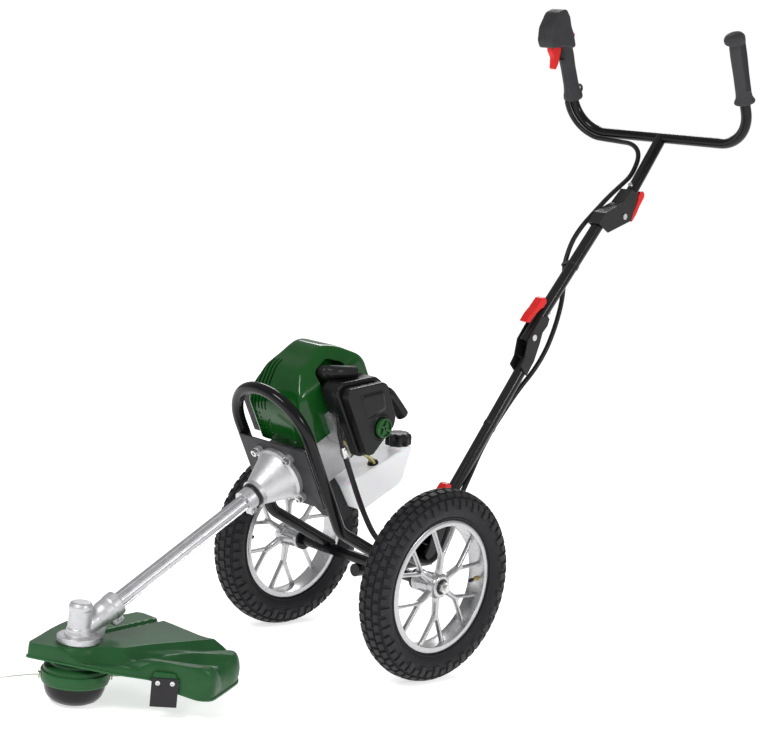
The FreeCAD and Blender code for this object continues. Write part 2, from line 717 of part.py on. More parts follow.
def build_trimmer_head():
    reach = size("head_reach")
    housing = turned("head_shell", [
        ("spindle_radius", "head_top - 12"), ("spindle_radius", "head_top + 8"),
        ("20", "head_top + 8"), ("22", "head_top"), ("head_radius - 9", "head_top"),
        ("head_radius - 3", "head_top - 8"), ("head_radius", "head_top - 26"),
        ("head_radius", "head_split"), ("head_radius - 3", "head_split"),
        ("head_radius - 3", "head_top - 27"), ("head_radius - 7", "head_top - 12"),
    ], machine(0, reach, 0))
    outlets = []
    for index, angle in enumerate(LINE_OUTLETS):
        turn = Rotation(Vector(0, 0, 1), angle).multiply(LEFTWARD)
        place = machine(0, reach, size("head_split") + 12, Rotation())
        outlets.append(cylinder(f"line_outlet{index}", place.multiply(Placement(Vector(), turn)), "3", "80"))
    keep(cut("head_housing", housing, *outlets), "trimmer_housing")

    spool = turned("spool_body", [
        ("7", "head_split + 1"), ("46", "head_split + 1"), ("46", "head_split + 3"),
        ("24", "head_split + 3"), ("24", "head_split + 20"), ("46", "head_split + 20"),
        ("46", "head_split + 22"), ("spindle_radius", "head_split + 22"),
        ("spindle_radius", "head_split + 18"), ("7", "head_split + 18"),
    ], machine(0, reach, 0))
    keep(spool, "line_spool")

    knob = turned("knob_bowl", [
        ("0", "0"), ("16", "0"), ("34", "5"), ("46", "15"), ("knob_radius", "28"),
        ("knob_radius", "head_split - 1"), ("knob_radius - 3", "head_split - 1"),
        ("knob_radius - 3", "29"), ("43", "17"), ("32", "8"), ("16", "4"), ("6", "4"),
        ("6", "42"), ("0", "42"),
    ], machine(0, reach, 0))
    keep(knob, "bump_knob")


def build_line():
    """Two ends of cutting line, which leave the head on opposite sides and trail a little."""
    hub = machine(0, size("head_reach"), size("head_split") + 12).Base
    ends = []
    for hand in (1, -1):
        points = [hub + Vector(hand * x, hand * y, 0) for x, y in LINE_ROUTE]
        ends.append(made(f"line_end{hand + 1}", swept(route_wire(points, [30, 80]), size("line_radius"))))
    keep(group("line_group", *ends), "trimmer_line")


# ---------------------------------------------------------------- engine

def side_profile(label, outline, width, centre_x=0.0):
    """A block whose outline lies in the (station, height) plane of the engine."""
    return plate(label, outline, width, engine(centre_x, 0, 0), "YZ_Plane", centred=True)


COWL_OUTLINE = [("18", "42"), ("20", "118"), ("45", "146"), ("72", "172"), ("108", "166"),
                ("122", "176"), ("138", "182"), ("165", "170"), ("192", "138"), ("208", "112"),
                ("204", "44")]
COWL_INSIDE = [("21", "38"), ("23", "117"), ("47", "143"), ("73", "168.5"), ("109", "162.5"),
               ("123", "172.5"), ("138", "178.5"), ("163", "167"), ("189", "136"), ("205", "111"),
               ("201", "38")]


def build_engine():
    case_block = side_profile("crankcase_block", [
        ("-7", "-48"), ("96", "-48"), ("118", "-30"), ("118", "38"), ("18", "38"), ("18", "30"),
        ("-7", "50")], "96")
    case_room = turned("crankcase_room", [
        ("0", "-1"), ("42", "-1"), ("42", "24"), ("9", "24"), ("9", "30"), ("30", "30"),
        ("30", "70"), ("9", "70"), ("9", "120"), ("0", "120"),
    ], engine(0, -7, 0, ALONG_SHAFT))
    shoe_room = cylinder("crankcase_bolt_room0", engine(-41.5, -12, -41.5, ALONG_SHAFT), "mount_bolt_radius", "30")
    rooms = [shoe_room]
    for index, (a, b) in enumerate(((-1, 1), (1, -1), (1, 1)), start=1):
        rooms.append(cylinder(f"crankcase_bolt_room{index}",
                              engine(a * 41.5, -12, b * 41.5, ALONG_SHAFT), "mount_bolt_radius", "30"))
    keep(cut("crankcase_casting", case_block, case_room, *rooms), "crankcase")

    barrel = turned("cylinder_barrel", [("19", "0"), ("27", "0"), ("27", "92"), ("0", "92"),
                                        ("0", "80"), ("19", "80")], engine(0, 66, 39))
    fins = [box(f"cylinder_fin{index}", engine(0, 66, 48 + 8 * index), "82", "82", "2")
            for index in range(9)]
    fin_room = cylinder("cylinder_fin_room", engine(0, 66, 38), "26.5", "92")
    keep(joined("cylinder_solid", barrel, cut("cylinder_fins", joined("fin_stack", *fins), fin_room)),
         "cylinder")

    cowl = side_profile("cowl_outer", COWL_OUTLINE, "124")
    cowl_room = side_profile("cowl_inner", COWL_INSIDE, "118")
    plug_room = box("cowl_plug_room", engine(52, 118, 136), "30", "34", "50")
    slots = [box(f"cowl_slot{index}", engine(-30 + 9 * index, 38, 128), "4", "60", "60")
             for index in range(7)]
    slot_zone = side_profile("cowl_slot_zone", [("10", "118"), ("23", "110"), ("70", "160"), ("62", "180"),
                                                ("10", "180")], "80")
    slot_cut = doc.addObject("Part::MultiCommon", "cowl_slots")
    slot_cut.Shapes = [joined("cowl_slot_blades", *slots), slot_zone]
    carb_room = box("cowl_carb_room", engine(62, 92, 38), "20", "40", "50")
    keep(cut("cowl_shell", cowl, cowl_room, plug_room, carb_room, slot_cut), "engine_cowl")

    starter = turned("starter_can", [
        ("0", "30"), ("50", "30"), ("58", "22"), ("58", "0"), ("54", "0"), ("54", "20"),
        ("48", "26"), ("0", "26"),
    ], engine(0, 119, 0, ALONG_SHAFT))
    rope_guide = box("starter_guide", engine(46, 150, 2), "22", "40", "16")
    rope_room = cylinder("starter_rope_room", engine(48, 120, 10, ALONG_SHAFT), "3", "70")
    keep(cut("starter_casing", joined("starter_solid", starter, rope_guide), rope_room), "starter_housing")
    grip = box("starter_grip", engine(48, 226, 5), "14", "12", "12")
    grip_bar = cylinder("starter_bar", engine(22, 236, 10, LEFTWARD), "8", "52")
    rope = cylinder("starter_rope", engine(48, 122, 10, ALONG_SHAFT), "2", "110")
    keep(joined("starter_pull", grip, grip_bar, rope), "starter_handle")

    muffler = side_profile("muffler_box", [("30", "46"), ("100", "46"), ("108", "56"), ("108", "118"),
                                           ("100", "126"), ("30", "126")], "34", centre_x=-80)
    pipe = cylinder("muffler_pipe", engine(-96, 70, 56, RIGHTWARD), "7", "12")
    keep(joined("muffler_solid", muffler, pipe), "muffler")

    keep(joined("carb_solid",
                box("carb_body", engine(60, 92, 42), "38", "36", "44"),
                box("carb_bowl", engine(64, 92, 25), "28", "32", "18")), "carburettor")
    keep(side_profile("filter_tray", [("92", "-2"), ("176", "18"), ("186", "100"), ("92", "134")],
                      "8", centre_x=83), "filter_base")
    cover = side_profile("filter_lid", [
        ("84", "-6"), ("100", "-9"), ("172", "14"), ("182", "28"), ("188", "100"), ("180", "110"),
        ("92", "142"), ("84", "134")], "43", centre_x=109)
    cover_room = side_profile("filter_room", [
        ("87", "-4"), ("100", "-6"), ("170", "17"), ("179", "29"), ("185", "99"), ("178", "107"),
        ("93", "138"), ("87", "132")], "38", centre_x=106)
    stud_room = cylinder("filter_stud_room", engine(100, 138, 32, LEFTWARD), "4.1", "40")
    keep(cut("filter_cover_shell", cover, cover_room, stud_room), "filter_cover")
    wheel_grip = cylinder("filter_knob_disc", engine(131, 138, 32, LEFTWARD), "18", "8")
    stem = cylinder("filter_knob_stem", engine(90, 138, 32, LEFTWARD), "4", "42")
    keep(joined("filter_knob_solid", wheel_grip, stem), "filter_knob")

    boot = cylinder("plug_boot_cap", engine(52, 112, 152, LEFTWARD), "11", "26")
    lead = cylinder("plug_lead", engine(70, 112, 152, ALONG_SHAFT), "5", "44")
    keep(joined("plug_boot_solid", boot, lead), "plug_boot")


def build_tank():
    """The translucent fuel tank on the left below the filter, its lobed cap, foot and hoses."""
    outline = [("84", "-134"), ("90", "-139"), ("190", "-147"), ("200", "-144"), ("248", "-101"),
               ("248", "-96"), ("240", "-93"), ("88", "-74"), ("80", "-79")]
    inside = [("87", "-132"), ("91", "-136"), ("189", "-144"), ("199", "-141"), ("245", "-100"),
              ("245", "-98"), ("239", "-96"), ("89", "-77"), ("83", "-80")]
    walls = cut("tank_body", side_profile("tank_outer", outline, "110", centre_x=5),
                side_profile("tank_inner", inside, "104", centre_x=5))
    lean = Rotation(Vector(1, 0, 0), -24)
    neck = cylinder("tank_neck", engine(44, 222, -100, lean), "15", "29")
    neck_room = cylinder("tank_neck_room", engine(44, 218, -109, lean), "12", "50")
    neck_trim = side_profile("tank_neck_trim", inside, "104", centre_x=5)
    keep(cut("tank_shell", joined("tank_walls", walls, cut("tank_spout", neck, neck_trim)), neck_room),
         "fuel_tank")
    lid = turned("cap_lid", [
        ("0", "6"), ("11.5", "6"), ("11.5", "13"), ("15.3", "13"), ("15.3", "0"), ("21", "0"),
        ("22", "2"), ("22", "20"), ("19", "24"), ("0", "24"),
    ], engine(44, 222, -100, lean).multiply(Placement(Vector(0, 0, 17), Rotation())))
    keep(lid, "fuel_cap")
    foot = side_profile("foot_block", [
        ("24", "-50"), ("72", "-50"), ("78", "-84"), ("82", "-134"), ("88", "-141"), ("88", "-150"),
        ("60", "-150"), ("44", "-112")], "56", centre_x=5)
    keep(foot, "tank_foot")
    hoses = []
    for index, offset in enumerate((0, 8)):
        route = [(62 + offset, 92, 23), (66 + offset, 112, -18), (52 + offset, 150, -58),
                 (41 + offset, 158, -82)]
        points = [engine(x, station, height).Base for x, station, height in route]
        hoses.append(made(f"hose{index}", cord_shape(f"hose{index}", points, size("hose_radius"))))
    keep(group("hose_group", *hoses), "fuel_hoses")


# ---------------------------------------------------------------- fasteners

def socket_screw(label, placement, radius, length, head_radius, head):
    """A cap screw: local Z runs from the head's face into the hole."""
    shank = cylinder(label + "_shank", placement, radius, f"{length} + {head}")
    cap = cylinder(label + "_cap", placement, head_radius, str(head))
    socket = primitive("Prism", label + "_socket", placement.multiply(Placement(Vector(0, 0, -0.5), Rotation())),
                       Circumradius=f"{head_radius} / 2", Height=f"{head} / 2 + 0.5")
    socket.Polygon = 6
    return cut(label, joined(label + "_solid", shank, cap), socket)


def build_screws():
    pitch = size("mount_bolt_pitch")
    screws = []
    for index, (a, b) in enumerate(((-1, -1), (-1, 1), (1, -1), (1, 1))):
        place = engine(a * pitch, size("plate_station") - 17, b * pitch, ALONG_SHAFT)
        screws.append(socket_screw(f"mount_bolt{index}", place, "mount_bolt_radius", "25", "6.5", "8"))
    front = size("plate_station") - size("cone_length")
    screws.append(socket_screw("collar_screw", engine(12, front - 16, -23, RIGHTWARD), "2.5", "18", "4.5", "4"))
    shaft_start = engine(0, 0, 0).inverse().multVec(
        machine(0, size("head_reach"), size("gear_height")).Base).y
    screws.append(socket_screw("gear_screw", engine(12, shaft_start + 74, -24, RIGHTWARD),
                               "2.5", "18", "4.5", "4.5"))
    for index in range(4):
        angle = math.radians(45 + 90 * index)
        place = machine(27 * math.cos(angle), size("head_reach") + 27 * math.sin(angle), 88)
        screws.append(cylinder(f"guard_screw{index}", place, "2.4", "8"))
    keep(group("screw_group", *screws), "machine_screws")


# ---------------------------------------------------------------- folding column

def column_tube(label, joint, angle, length, holes=()):
    """A straight round tube from just below its pin, with cross holes for the pin and the clamp."""
    tail = size("tube_tail")
    tube = turned(label + "_round", [
        ("column_tube_radius - tube_wall", "0"), ("column_tube_radius", "0"),
        ("column_tube_radius", f"{length} + tube_tail"),
        ("column_tube_radius - tube_wall", f"{length} + tube_tail"),
    ], column(joint, angle, -tail))
    pin_hole = cylinder(label + "_pin_hole", column(joint, angle, 0, 0, -20, LEFTWARD),
                        "pin_radius + running_gap", "40")
    clamp_hole = cylinder(label + "_clamp_hole",
                          column(joint, angle, size("clamp_station"), -20, 0, ALONG_SHAFT), "3.1", "40")
    return cut(label + "_drilled", tube, pin_hole, clamp_hole)


def hinge_pins(label, joint, angle, lever_side):
    """The hinge pin with its two heads, the clamp bolt, its nut and the lever's cross pin."""
    half = size("channel_inside") / 2 + size("channel_sheet")
    pin = cylinder(label + "_pin", column(joint, angle, 0, 0, -half - 3, LEFTWARD),
                   "pin_radius", f"{2 * half + 6}")
    heads = [cylinder(f"{label}_head{index}", column(joint, angle, 0, 0, start, LEFTWARD), "6.5", "3")
             for index, start in enumerate((-half - 3, half))]
    station = size("clamp_station")
    reach = size("clamp_offset")
    wall = size("column_tube_radius")
    lever_out = lever_side * reach
    start = min(lever_out, -lever_side * (wall + 4))
    bolt = cylinder(label + "_bolt", column(joint, angle, station, start, 0, ALONG_SHAFT),
                    "3", f"{reach + wall + 4}")
    nut = cylinder(label + "_nut", column(joint, angle, station, min(-lever_side * wall, -lever_side * (wall + 4)),
                                          0, ALONG_SHAFT), "5", "4")
    eye = cylinder(label + "_eye", column(joint, angle, station, lever_out, -9, LEFTWARD), "3.5", "18")
    return (joined(label + "_hinge_pin", pin, *heads), joined(label + "_clamp", bolt, nut, eye))


def cam_lever(label, joint, angle, lever_side):
    """A red cam lever, seated over the clamp bolt's cross pin, lying along its tube towards the hinge."""
    place = column(joint, angle, size("clamp_station"), lever_side * size("clamp_offset"))
    flip = Rotation() if lever_side > 0 else Rotation(Vector(0, 0, 1), 180)
    lever = plate(label + "_blade", [
        ("-8", "4"), ("-7", "-5"), ("-3", "-14"), ("2", "-30"), ("4", "-54"), ("13", "-60"),
        ("12", "-28"), ("9", "-2"), ("8", "6"), ("3", "10"), ("-4", "9")],
        "20", place.multiply(Placement(Vector(), flip)), "YZ_Plane",
        [("0", "0", "3.55")], centred=True)
    bolt_room = box(label + "_bolt_room", place.multiply(Placement(Vector(0, 0, -4), Rotation())),
                    "7", "40", "20")
    keep(cut(label + "_solid", lever, bolt_room), label)


def build_column():
    build_axle_beam()
    keep(column_tube("lower_tube", "base_pin", "lower_angle", "lower_length"), "lower_tube")
    keep(column_tube("middle_tube", "lower_pin", "middle_angle", "middle_length"), "middle_tube")
    keep(channel("lower_channel", LOWER_CHEEK, LOWER_INSIDE,
                 machine(0, size("lower_pin_y"), size("lower_pin_z"))), "lower_bracket")
    keep(channel("upper_channel", [
        ("-84", "-18"), ("-65", "5"), ("-11", "28"), ("18", "58"), ("40", "49"), ("26", "-8"),
        ("-49", "-36")], [
        ("-94.8", "-35"), ("-63.5", "2.9"), ("-10", "25.7"), ("23", "60"), ("75", "45"),
        ("60", "-60"), ("-60", "-60")],
        machine(0, size("upper_pin_y"), size("upper_pin_z"))), "upper_bracket")
    for label, joint, angle, lever_side in (
            ("base", "base_pin", "lower_angle", -1),
            ("lower", "lower_pin", "middle_angle", -1),
            ("upper", "upper_pin", "upper_angle", 1)):
        keep(group(label + "_hardware", *hinge_pins(label, joint, angle, lever_side)), label + "_hinge_pins")
        cam_lever(label + "_lever", joint, angle, lever_side)


def build_handlebar():
    """The bent crossbar welded across the top of the upper column tube."""
    rise = size("bar_rise")
    ends = [handle(1, rise).Base, handle(1, 0).Base, handle(-1, 0).Base, handle(-1, rise).Base]
    bar = swept(route_wire(ends, [size("bar_bend")] * 2), size("bar_radius"))
    bore = swept(route_wire(ends, [size("bar_bend")] * 2), size("bar_radius") - size("tube_wall"))
    pin = machine(0, size("upper_pin_y"), size("upper_pin_z")).Base
    top = handle(1, 0).Base
    top.x = 0
    along = (top - pin).normalize()
    tail = pin - along * size("tube_tail")
    post = Part.makeCylinder(size("column_tube_radius"), (top - tail).Length, tail, along)
    post_bore = Part.makeCylinder(size("column_tube_radius") - size("tube_wall"),
                                  (top - tail).Length - size("bar_radius"), tail, along)
    pin_hole = Part.makeCylinder(size("pin_radius") + size("running_gap"), 60, pin - Vector(30, 0, 0),
                                 Vector(1, 0, 0))
    behind = Vector(0, along.z, -along.y)
    clamp = pin + along * size("clamp_station") - behind * 30
    clamp_hole = Part.makeCylinder(3.1, 60, clamp, behind)
    whole = bar.fuse(post).cut(post_bore.fuse([bore, pin_hole, clamp_hole]))
    keep(made("bar_weldment", sorted(whole.Solids, key=lambda s: s.Volume)[-1]), "handlebar")


def build_grips():
    rubber = turned("grip_rubber", [
        ("bar_radius", "0"), ("21", "0"), ("22", "3"), ("21", "7"), ("16.5", "14"), ("16", "60"),
        ("17", "110"), ("18", "128"), ("21.5", "136"), ("21", "144"), ("14", "150"), ("0", "151"),
        ("0", "bar_rise - 95"), ("bar_radius", "bar_rise - 95")], handle(1, 95))
    keep(rubber, "hand_grip")

    outline = [("-17", "76"), ("17", "72"), ("16", "100"), ("16", "176"), ("26", "196"), ("26", "216"),
               ("18", "240"), ("24", "262"), ("12", "284"), ("-20", "282"), ("-52", "262"),
               ("-69", "236"), ("-66", "214"), ("-24", "200"), ("-17", "186")]
    cavity = [("-15", "206"), ("-60", "219"), ("-63", "234"), ("-48", "256"), ("-19", "276"), ("9", "278"),
              ("18", "262"), ("14", "246"), ("-12", "214")]

    def pivot(rise, forward):
        return handle(-1, rise, forward).multiply(Placement(Vector(-4, 0, 0), LEFTWARD))

    for side, direction in (("left", 1), ("right", -1)):
        half = plate(f"shell_{side}_outer", outline, "shell_half", handle(-1, 0), "YZ_Plane")
        if direction < 0:
            half.Placement = handle(-1, 0).multiply(Placement(Vector(-size("shell_half"), 0, 0), Rotation()))
        room = cylinder(f"shell_{side}_bar", handle(-1, 60), "bar_radius", "bar_rise - 60 + 1")
        hollow = plate(f"shell_{side}_cavity", cavity, "28", handle(-1, 0), "YZ_Plane", centred=True)
        trigger_slot = box(f"shell_{side}_trigger_slot", handle(-1, 176, 29), "9", "34", "42")
        stop_slot = box(f"shell_{side}_stop_slot", handle(-1, 262, -18), "9", "18", "13")
        lock_slot = box(f"shell_{side}_lock_slot", handle(-1, 206, -20), "9", "24", "16")
        keep(cut(f"shell_{side}", half, room, hollow, trigger_slot, stop_slot, lock_slot),
             f"throttle_shell_{side}")

    trigger = plate("trigger_blade", [
        ("-20", "214"), ("-38", "216"), ("-43", "206"), ("-41", "190"), ("-46", "172"), ("-42", "168"),
        ("-33", "178"), ("-29", "196"), ("-20", "204")], "8", handle(-1, 0), "YZ_Plane", centred=True)
    trigger_boss = cylinder("trigger_boss", pivot(212, 28), "5", "8")
    keep(joined("trigger_moulding", trigger, trigger_boss), "trigger")
    lockout = plate("lockout_blade", [
        ("18", "209"), ("26", "209"), ("34", "208"), ("37", "213"), ("33", "218"), ("18", "218")],
        "8", handle(-1, 0), "YZ_Plane", centred=True)
    keep(lockout, "lockout_lever")
    rocker = plate("rocker_blade", [
        ("12", "264"), ("21", "264"), ("26", "268"), ("24", "273"), ("12", "273")],
        "8", handle(-1, 0), "YZ_Plane", centred=True)
    rocker_boss = cylinder("rocker_boss", pivot(268.5, -15), "4", "8")
    keep(joined("rocker_moulding", rocker, rocker_boss), "stop_switch")


# ---------------------------------------------------------------- throttle cable

# Points are given from the ground point under the axle. The last ones follow the bar and are
# given as x, height up the handlebar's plane and distance in front of it.
ENGINE_CABLE = [(100, -165, 411), (100, -135, 355), (101, -102, 298), (101, -68, 252), (97, -22, 222),
                (84, 24, 206), (66, 72, 186), (50, 120, 168), (42, 164, 166), (36, 196, 192),
                (30, 214, 228)]
LOWER_CABLE = [(30, 214, 228), (22, 238, 266), (14, 264, 298), (3, 296, 331), (-4, 324, 371),
               (-6, 355, 413), (-5, 389, 456), (-4, 424, 496), (-4, 463, 531), (-4, 490, 566),
               (-5, 506, 594)]
MIDDLE_CABLE = [(-5, 506, 594), (-6, 521, 630), (-9, 535, 674), (-15, 542, 712), (-22, 546, 752),
                (-27, 560, 790), (-27, 592, 832), (-23, 630, 868)]
UPPER_CABLE = [(-23, 630, 868), (-22.5, 668, 900), (-22.5, 706, 926), (-23, 742, 950),
               (-30, 771, 995)]
BAR_CABLE = [(-56, -8, 27), (-100, -9, 19.5), (-146, -8, 17), (-174.7, -6, 17), (-212.3, 15.7, 17),
             (-234, 53.3, 17), (-234, 75, 16.5)]


def trimmed(points, at_start, at_end):
    """The same route, stopped short of a hinge at either end so that two lengths never touch."""
    result = list(points)
    gap = size("cable_split")
    if at_start:
        result[0] = points[0] + (points[1] - points[0]).normalize() * gap
    if at_end:
        result[-1] = points[-1] + (points[-2] - points[-1]).normalize() * gap
    return result


def build_cables():
    along_bar = [handle(0, rise, forward).Base + Vector(x, 0, 0) for x, rise, forward in BAR_CABLE]
    routes = (
        ("engine_cable", trimmed(shifted(ENGINE_CABLE), False, True)),
        ("lower_cable", trimmed(shifted(LOWER_CABLE), True, True)),
        ("middle_cable", trimmed(shifted(MIDDLE_CABLE), True, True)),
        ("upper_cable", trimmed(shifted(UPPER_CABLE), True, False) + along_bar),
    )
    for label, points in routes:
        keep(made(label + "_run", cord_shape(label, points, size("cable_radius"))), label)


# ---------------------------------------------------------------- build, check and write

def check_document():
    """Stops on a failed feature or an unsound shape, and returns nothing when all is well."""
    doc.recompute()
    failed = [item.Label for item in doc.Objects
              if "Invalid" in item.State or "Error" in item.State]
    if failed:
        raise RuntimeError("failed objects: " + ", ".join(failed))
    for label, item in nodes.items():
        if item.Shape.isNull() or not item.Shape.isValid() or not item.Shape.Solids:
            raise RuntimeError("unsound shape: " + label)


def write_parts():
    os.makedirs("parts", exist_ok=True)
    for label, item in nodes.items():
        item.Shape.exportStep(f"parts/{label}.step")
    print(len(nodes), "sub-parts written")


build_wheel("left", 1, LEFTWARD)
build_wheel("right", -1, RIGHTWARD)
build_axle()
build_bearings()
build_column()
build_hoop()
build_mount()
build_shaft_parts()
build_crank()
build_gear_head()
build_guard()
build_trimmer_head()
build_line()
build_engine()
build_tank()
build_screws()
build_handlebar()
build_grips()
build_cables()
check_document()
write_parts()
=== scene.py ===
"""The looks of a wheeled brush cutter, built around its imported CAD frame.

Lengths in the modelling code are millimetres, and every local frame's matrix turns them into metres.
"""
import math

import bmesh
import bpy
from mathutils import Matrix, Vector


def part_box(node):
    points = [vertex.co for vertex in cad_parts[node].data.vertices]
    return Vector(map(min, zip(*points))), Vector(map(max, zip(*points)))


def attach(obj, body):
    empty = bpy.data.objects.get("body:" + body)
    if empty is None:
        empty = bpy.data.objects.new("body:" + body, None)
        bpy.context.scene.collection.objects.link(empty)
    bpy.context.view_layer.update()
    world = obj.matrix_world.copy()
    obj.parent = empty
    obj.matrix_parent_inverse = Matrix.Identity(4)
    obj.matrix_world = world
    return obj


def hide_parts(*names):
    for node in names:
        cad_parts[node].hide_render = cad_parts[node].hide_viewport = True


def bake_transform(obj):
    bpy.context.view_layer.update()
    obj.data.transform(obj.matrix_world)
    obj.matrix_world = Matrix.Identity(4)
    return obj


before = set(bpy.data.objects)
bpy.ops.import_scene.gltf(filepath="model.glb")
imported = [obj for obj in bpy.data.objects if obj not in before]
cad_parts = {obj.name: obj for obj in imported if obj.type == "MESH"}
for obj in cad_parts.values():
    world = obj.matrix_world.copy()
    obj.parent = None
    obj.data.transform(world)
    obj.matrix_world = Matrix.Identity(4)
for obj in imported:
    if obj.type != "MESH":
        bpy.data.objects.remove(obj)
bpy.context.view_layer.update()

# ---------------------------------------------------------------- places

MM = 0.001
AXLE_Y = -20.4
WHEEL_RADIUS = 180.0
TRACK_HALF = 200.5
HEAD_Y = -641.0
BAR_HALF = 228.0
PINS = {"base": (201.0, 229.0, 54.8), "lower": (427.0, 604.0, 51.5), "upper": (681.0, 862.0, 55.9)}

MACHINE = Matrix.Scale(MM, 4) @ Matrix.Translation((0, AXLE_Y, 0))
ENGINE = MACHINE @ Matrix.Rotation(math.radians(30), 4, "X") @ Matrix.Translation((0, 0, 424))
HEAD = MACHINE @ Matrix.Translation((0, HEAD_Y, 0))
BAR = MACHINE @ Matrix.Translation((0, 799, 1036)) @ Matrix.Rotation(math.radians(25.6), 4, "X")


def moved(x=0.0, y=0.0, z=0.0, turn=0.0, axis="Z"):
    """A local shift followed by a turn, in millimetres and degrees."""
    return Matrix.Translation((x, y, z)) @ Matrix.Rotation(math.radians(turn), 4, axis)


def column(pin):
    """The frame of a column tube: Z up the tube from its pin, Y behind it."""
    y, z, angle = PINS[pin]
    return MACHINE @ Matrix.Translation((0, y, z)) @ Matrix.Rotation(math.radians(angle - 90), 4, "X")


def wheel(side):
    """The frame of a wheel: Z along the axle, away from the machine."""
    turn = Matrix.Rotation(math.radians(90 * side), 4, "Y")
    return MACHINE @ Matrix.Translation((side * TRACK_HALF, 0, WHEEL_RADIUS)) @ turn


# ---------------------------------------------------------------- camera, light and floor

def add_object(name, data):
    """A new object in the scene."""
    thing = bpy.data.objects.new(name, data)
    bpy.context.scene.collection.objects.link(thing)
    return thing


def add_camera():
    """A long lens low on the left of the head, rolled a little, as the machine is seen tipped back."""
    azimuth, pitch, roll = (math.radians(angle) for angle in (43.88, 7.78, 6.0))
    forward = Vector((-math.sin(azimuth) * math.cos(pitch), math.cos(azimuth) * math.cos(pitch),
                      -math.sin(pitch)))
    right = Vector((math.cos(azimuth), math.sin(azimuth), 0))
    up = right.cross(forward)
    rolled_right = right * math.cos(roll) + up * math.sin(roll)
    rolled_up = up * math.cos(roll) - right * math.sin(roll)
    turn = Matrix((rolled_right, rolled_up, -forward)).transposed().to_4x4()
    data = bpy.data.cameras.new("camera")
    data.lens = 81.2
    data.sensor_width = 36
    camera = add_object("camera", data)
    camera.matrix_world = Matrix.Translation((2.2851, -2.3447 + AXLE_Y * MM, 0.9853)) @ turn
    bpy.context.scene.camera = camera


def add_light(name, place, target, width, power):
    data = bpy.data.lights.new(name, "AREA")
    data.shape = "RECTANGLE"
    data.size = width
    data.size_y = width * 0.6
    data.energy = power
    lamp = add_object(name, data)
    lamp.location = place
    lamp.rotation_euler = (Vector(target) - Vector(place)).to_track_quat("-Z", "Y").to_euler()


def add_studio():
    """A white surround that lights the object less than it shows, three soft lamps and a white floor."""
    scene = bpy.context.scene
    scene.view_settings.view_transform = "Standard"
    world = bpy.data.worlds.new("studio")
    world.use_nodes = True
    tree = world.node_tree
    light = tree.nodes["Background"]
    light.inputs["Color"].default_value = (1, 1, 1, 1)
    light.inputs["Strength"].default_value = 0.42
    backdrop = tree.nodes.new("ShaderNodeBackground")
    backdrop.inputs["Color"].default_value = (1, 1, 1, 1)
    rays = tree.nodes.new("ShaderNodeLightPath")
    choice = tree.nodes.new("ShaderNodeMixShader")
    tree.links.new(rays.outputs["Is Camera Ray"], choice.inputs["Fac"])
    tree.links.new(light.outputs["Background"], choice.inputs[1])
    tree.links.new(backdrop.outputs["Background"], choice.inputs[2])
    tree.links.new(choice.outputs["Shader"], tree.nodes["World Output"].inputs["Surface"])
    scene.world = world
    add_light("key", (0.6, -3.4, 3.4), (0, 0, 0.4), 1.6, 80)
    add_light("side", (4.4, 0.6, 2.6), (0, 0, 0.5), 1.2, 48)
    add_light("back", (-3.0, 3.0, 3.4), (0, 0, 0.6), 2.0, 60)
    ground = bpy.data.meshes.new("floor")
    reach = 60.0
    ground.from_pydata([(-reach, -reach, 0), (reach, -reach, 0), (reach, reach, 0), (-reach, reach, 0)],
                       [], [(0, 1, 2, 3)])
    floor = add_object("floor", ground)
    surface = Nodes("floor")
    surface.colour(surface.mix(surface.noise(3), (0.90, 0.90, 0.90), (0.89, 0.89, 0.89)))
    surface.set("Roughness", 1.0)
    surface.set("Specular IOR Level", 0.0)
    surface.set("Emission Color", (1.0, 1.0, 1.0))
    surface.set("Emission Strength", 0.66)
    floor.data.materials.append(surface.material)


# ---------------------------------------------------------------- materials

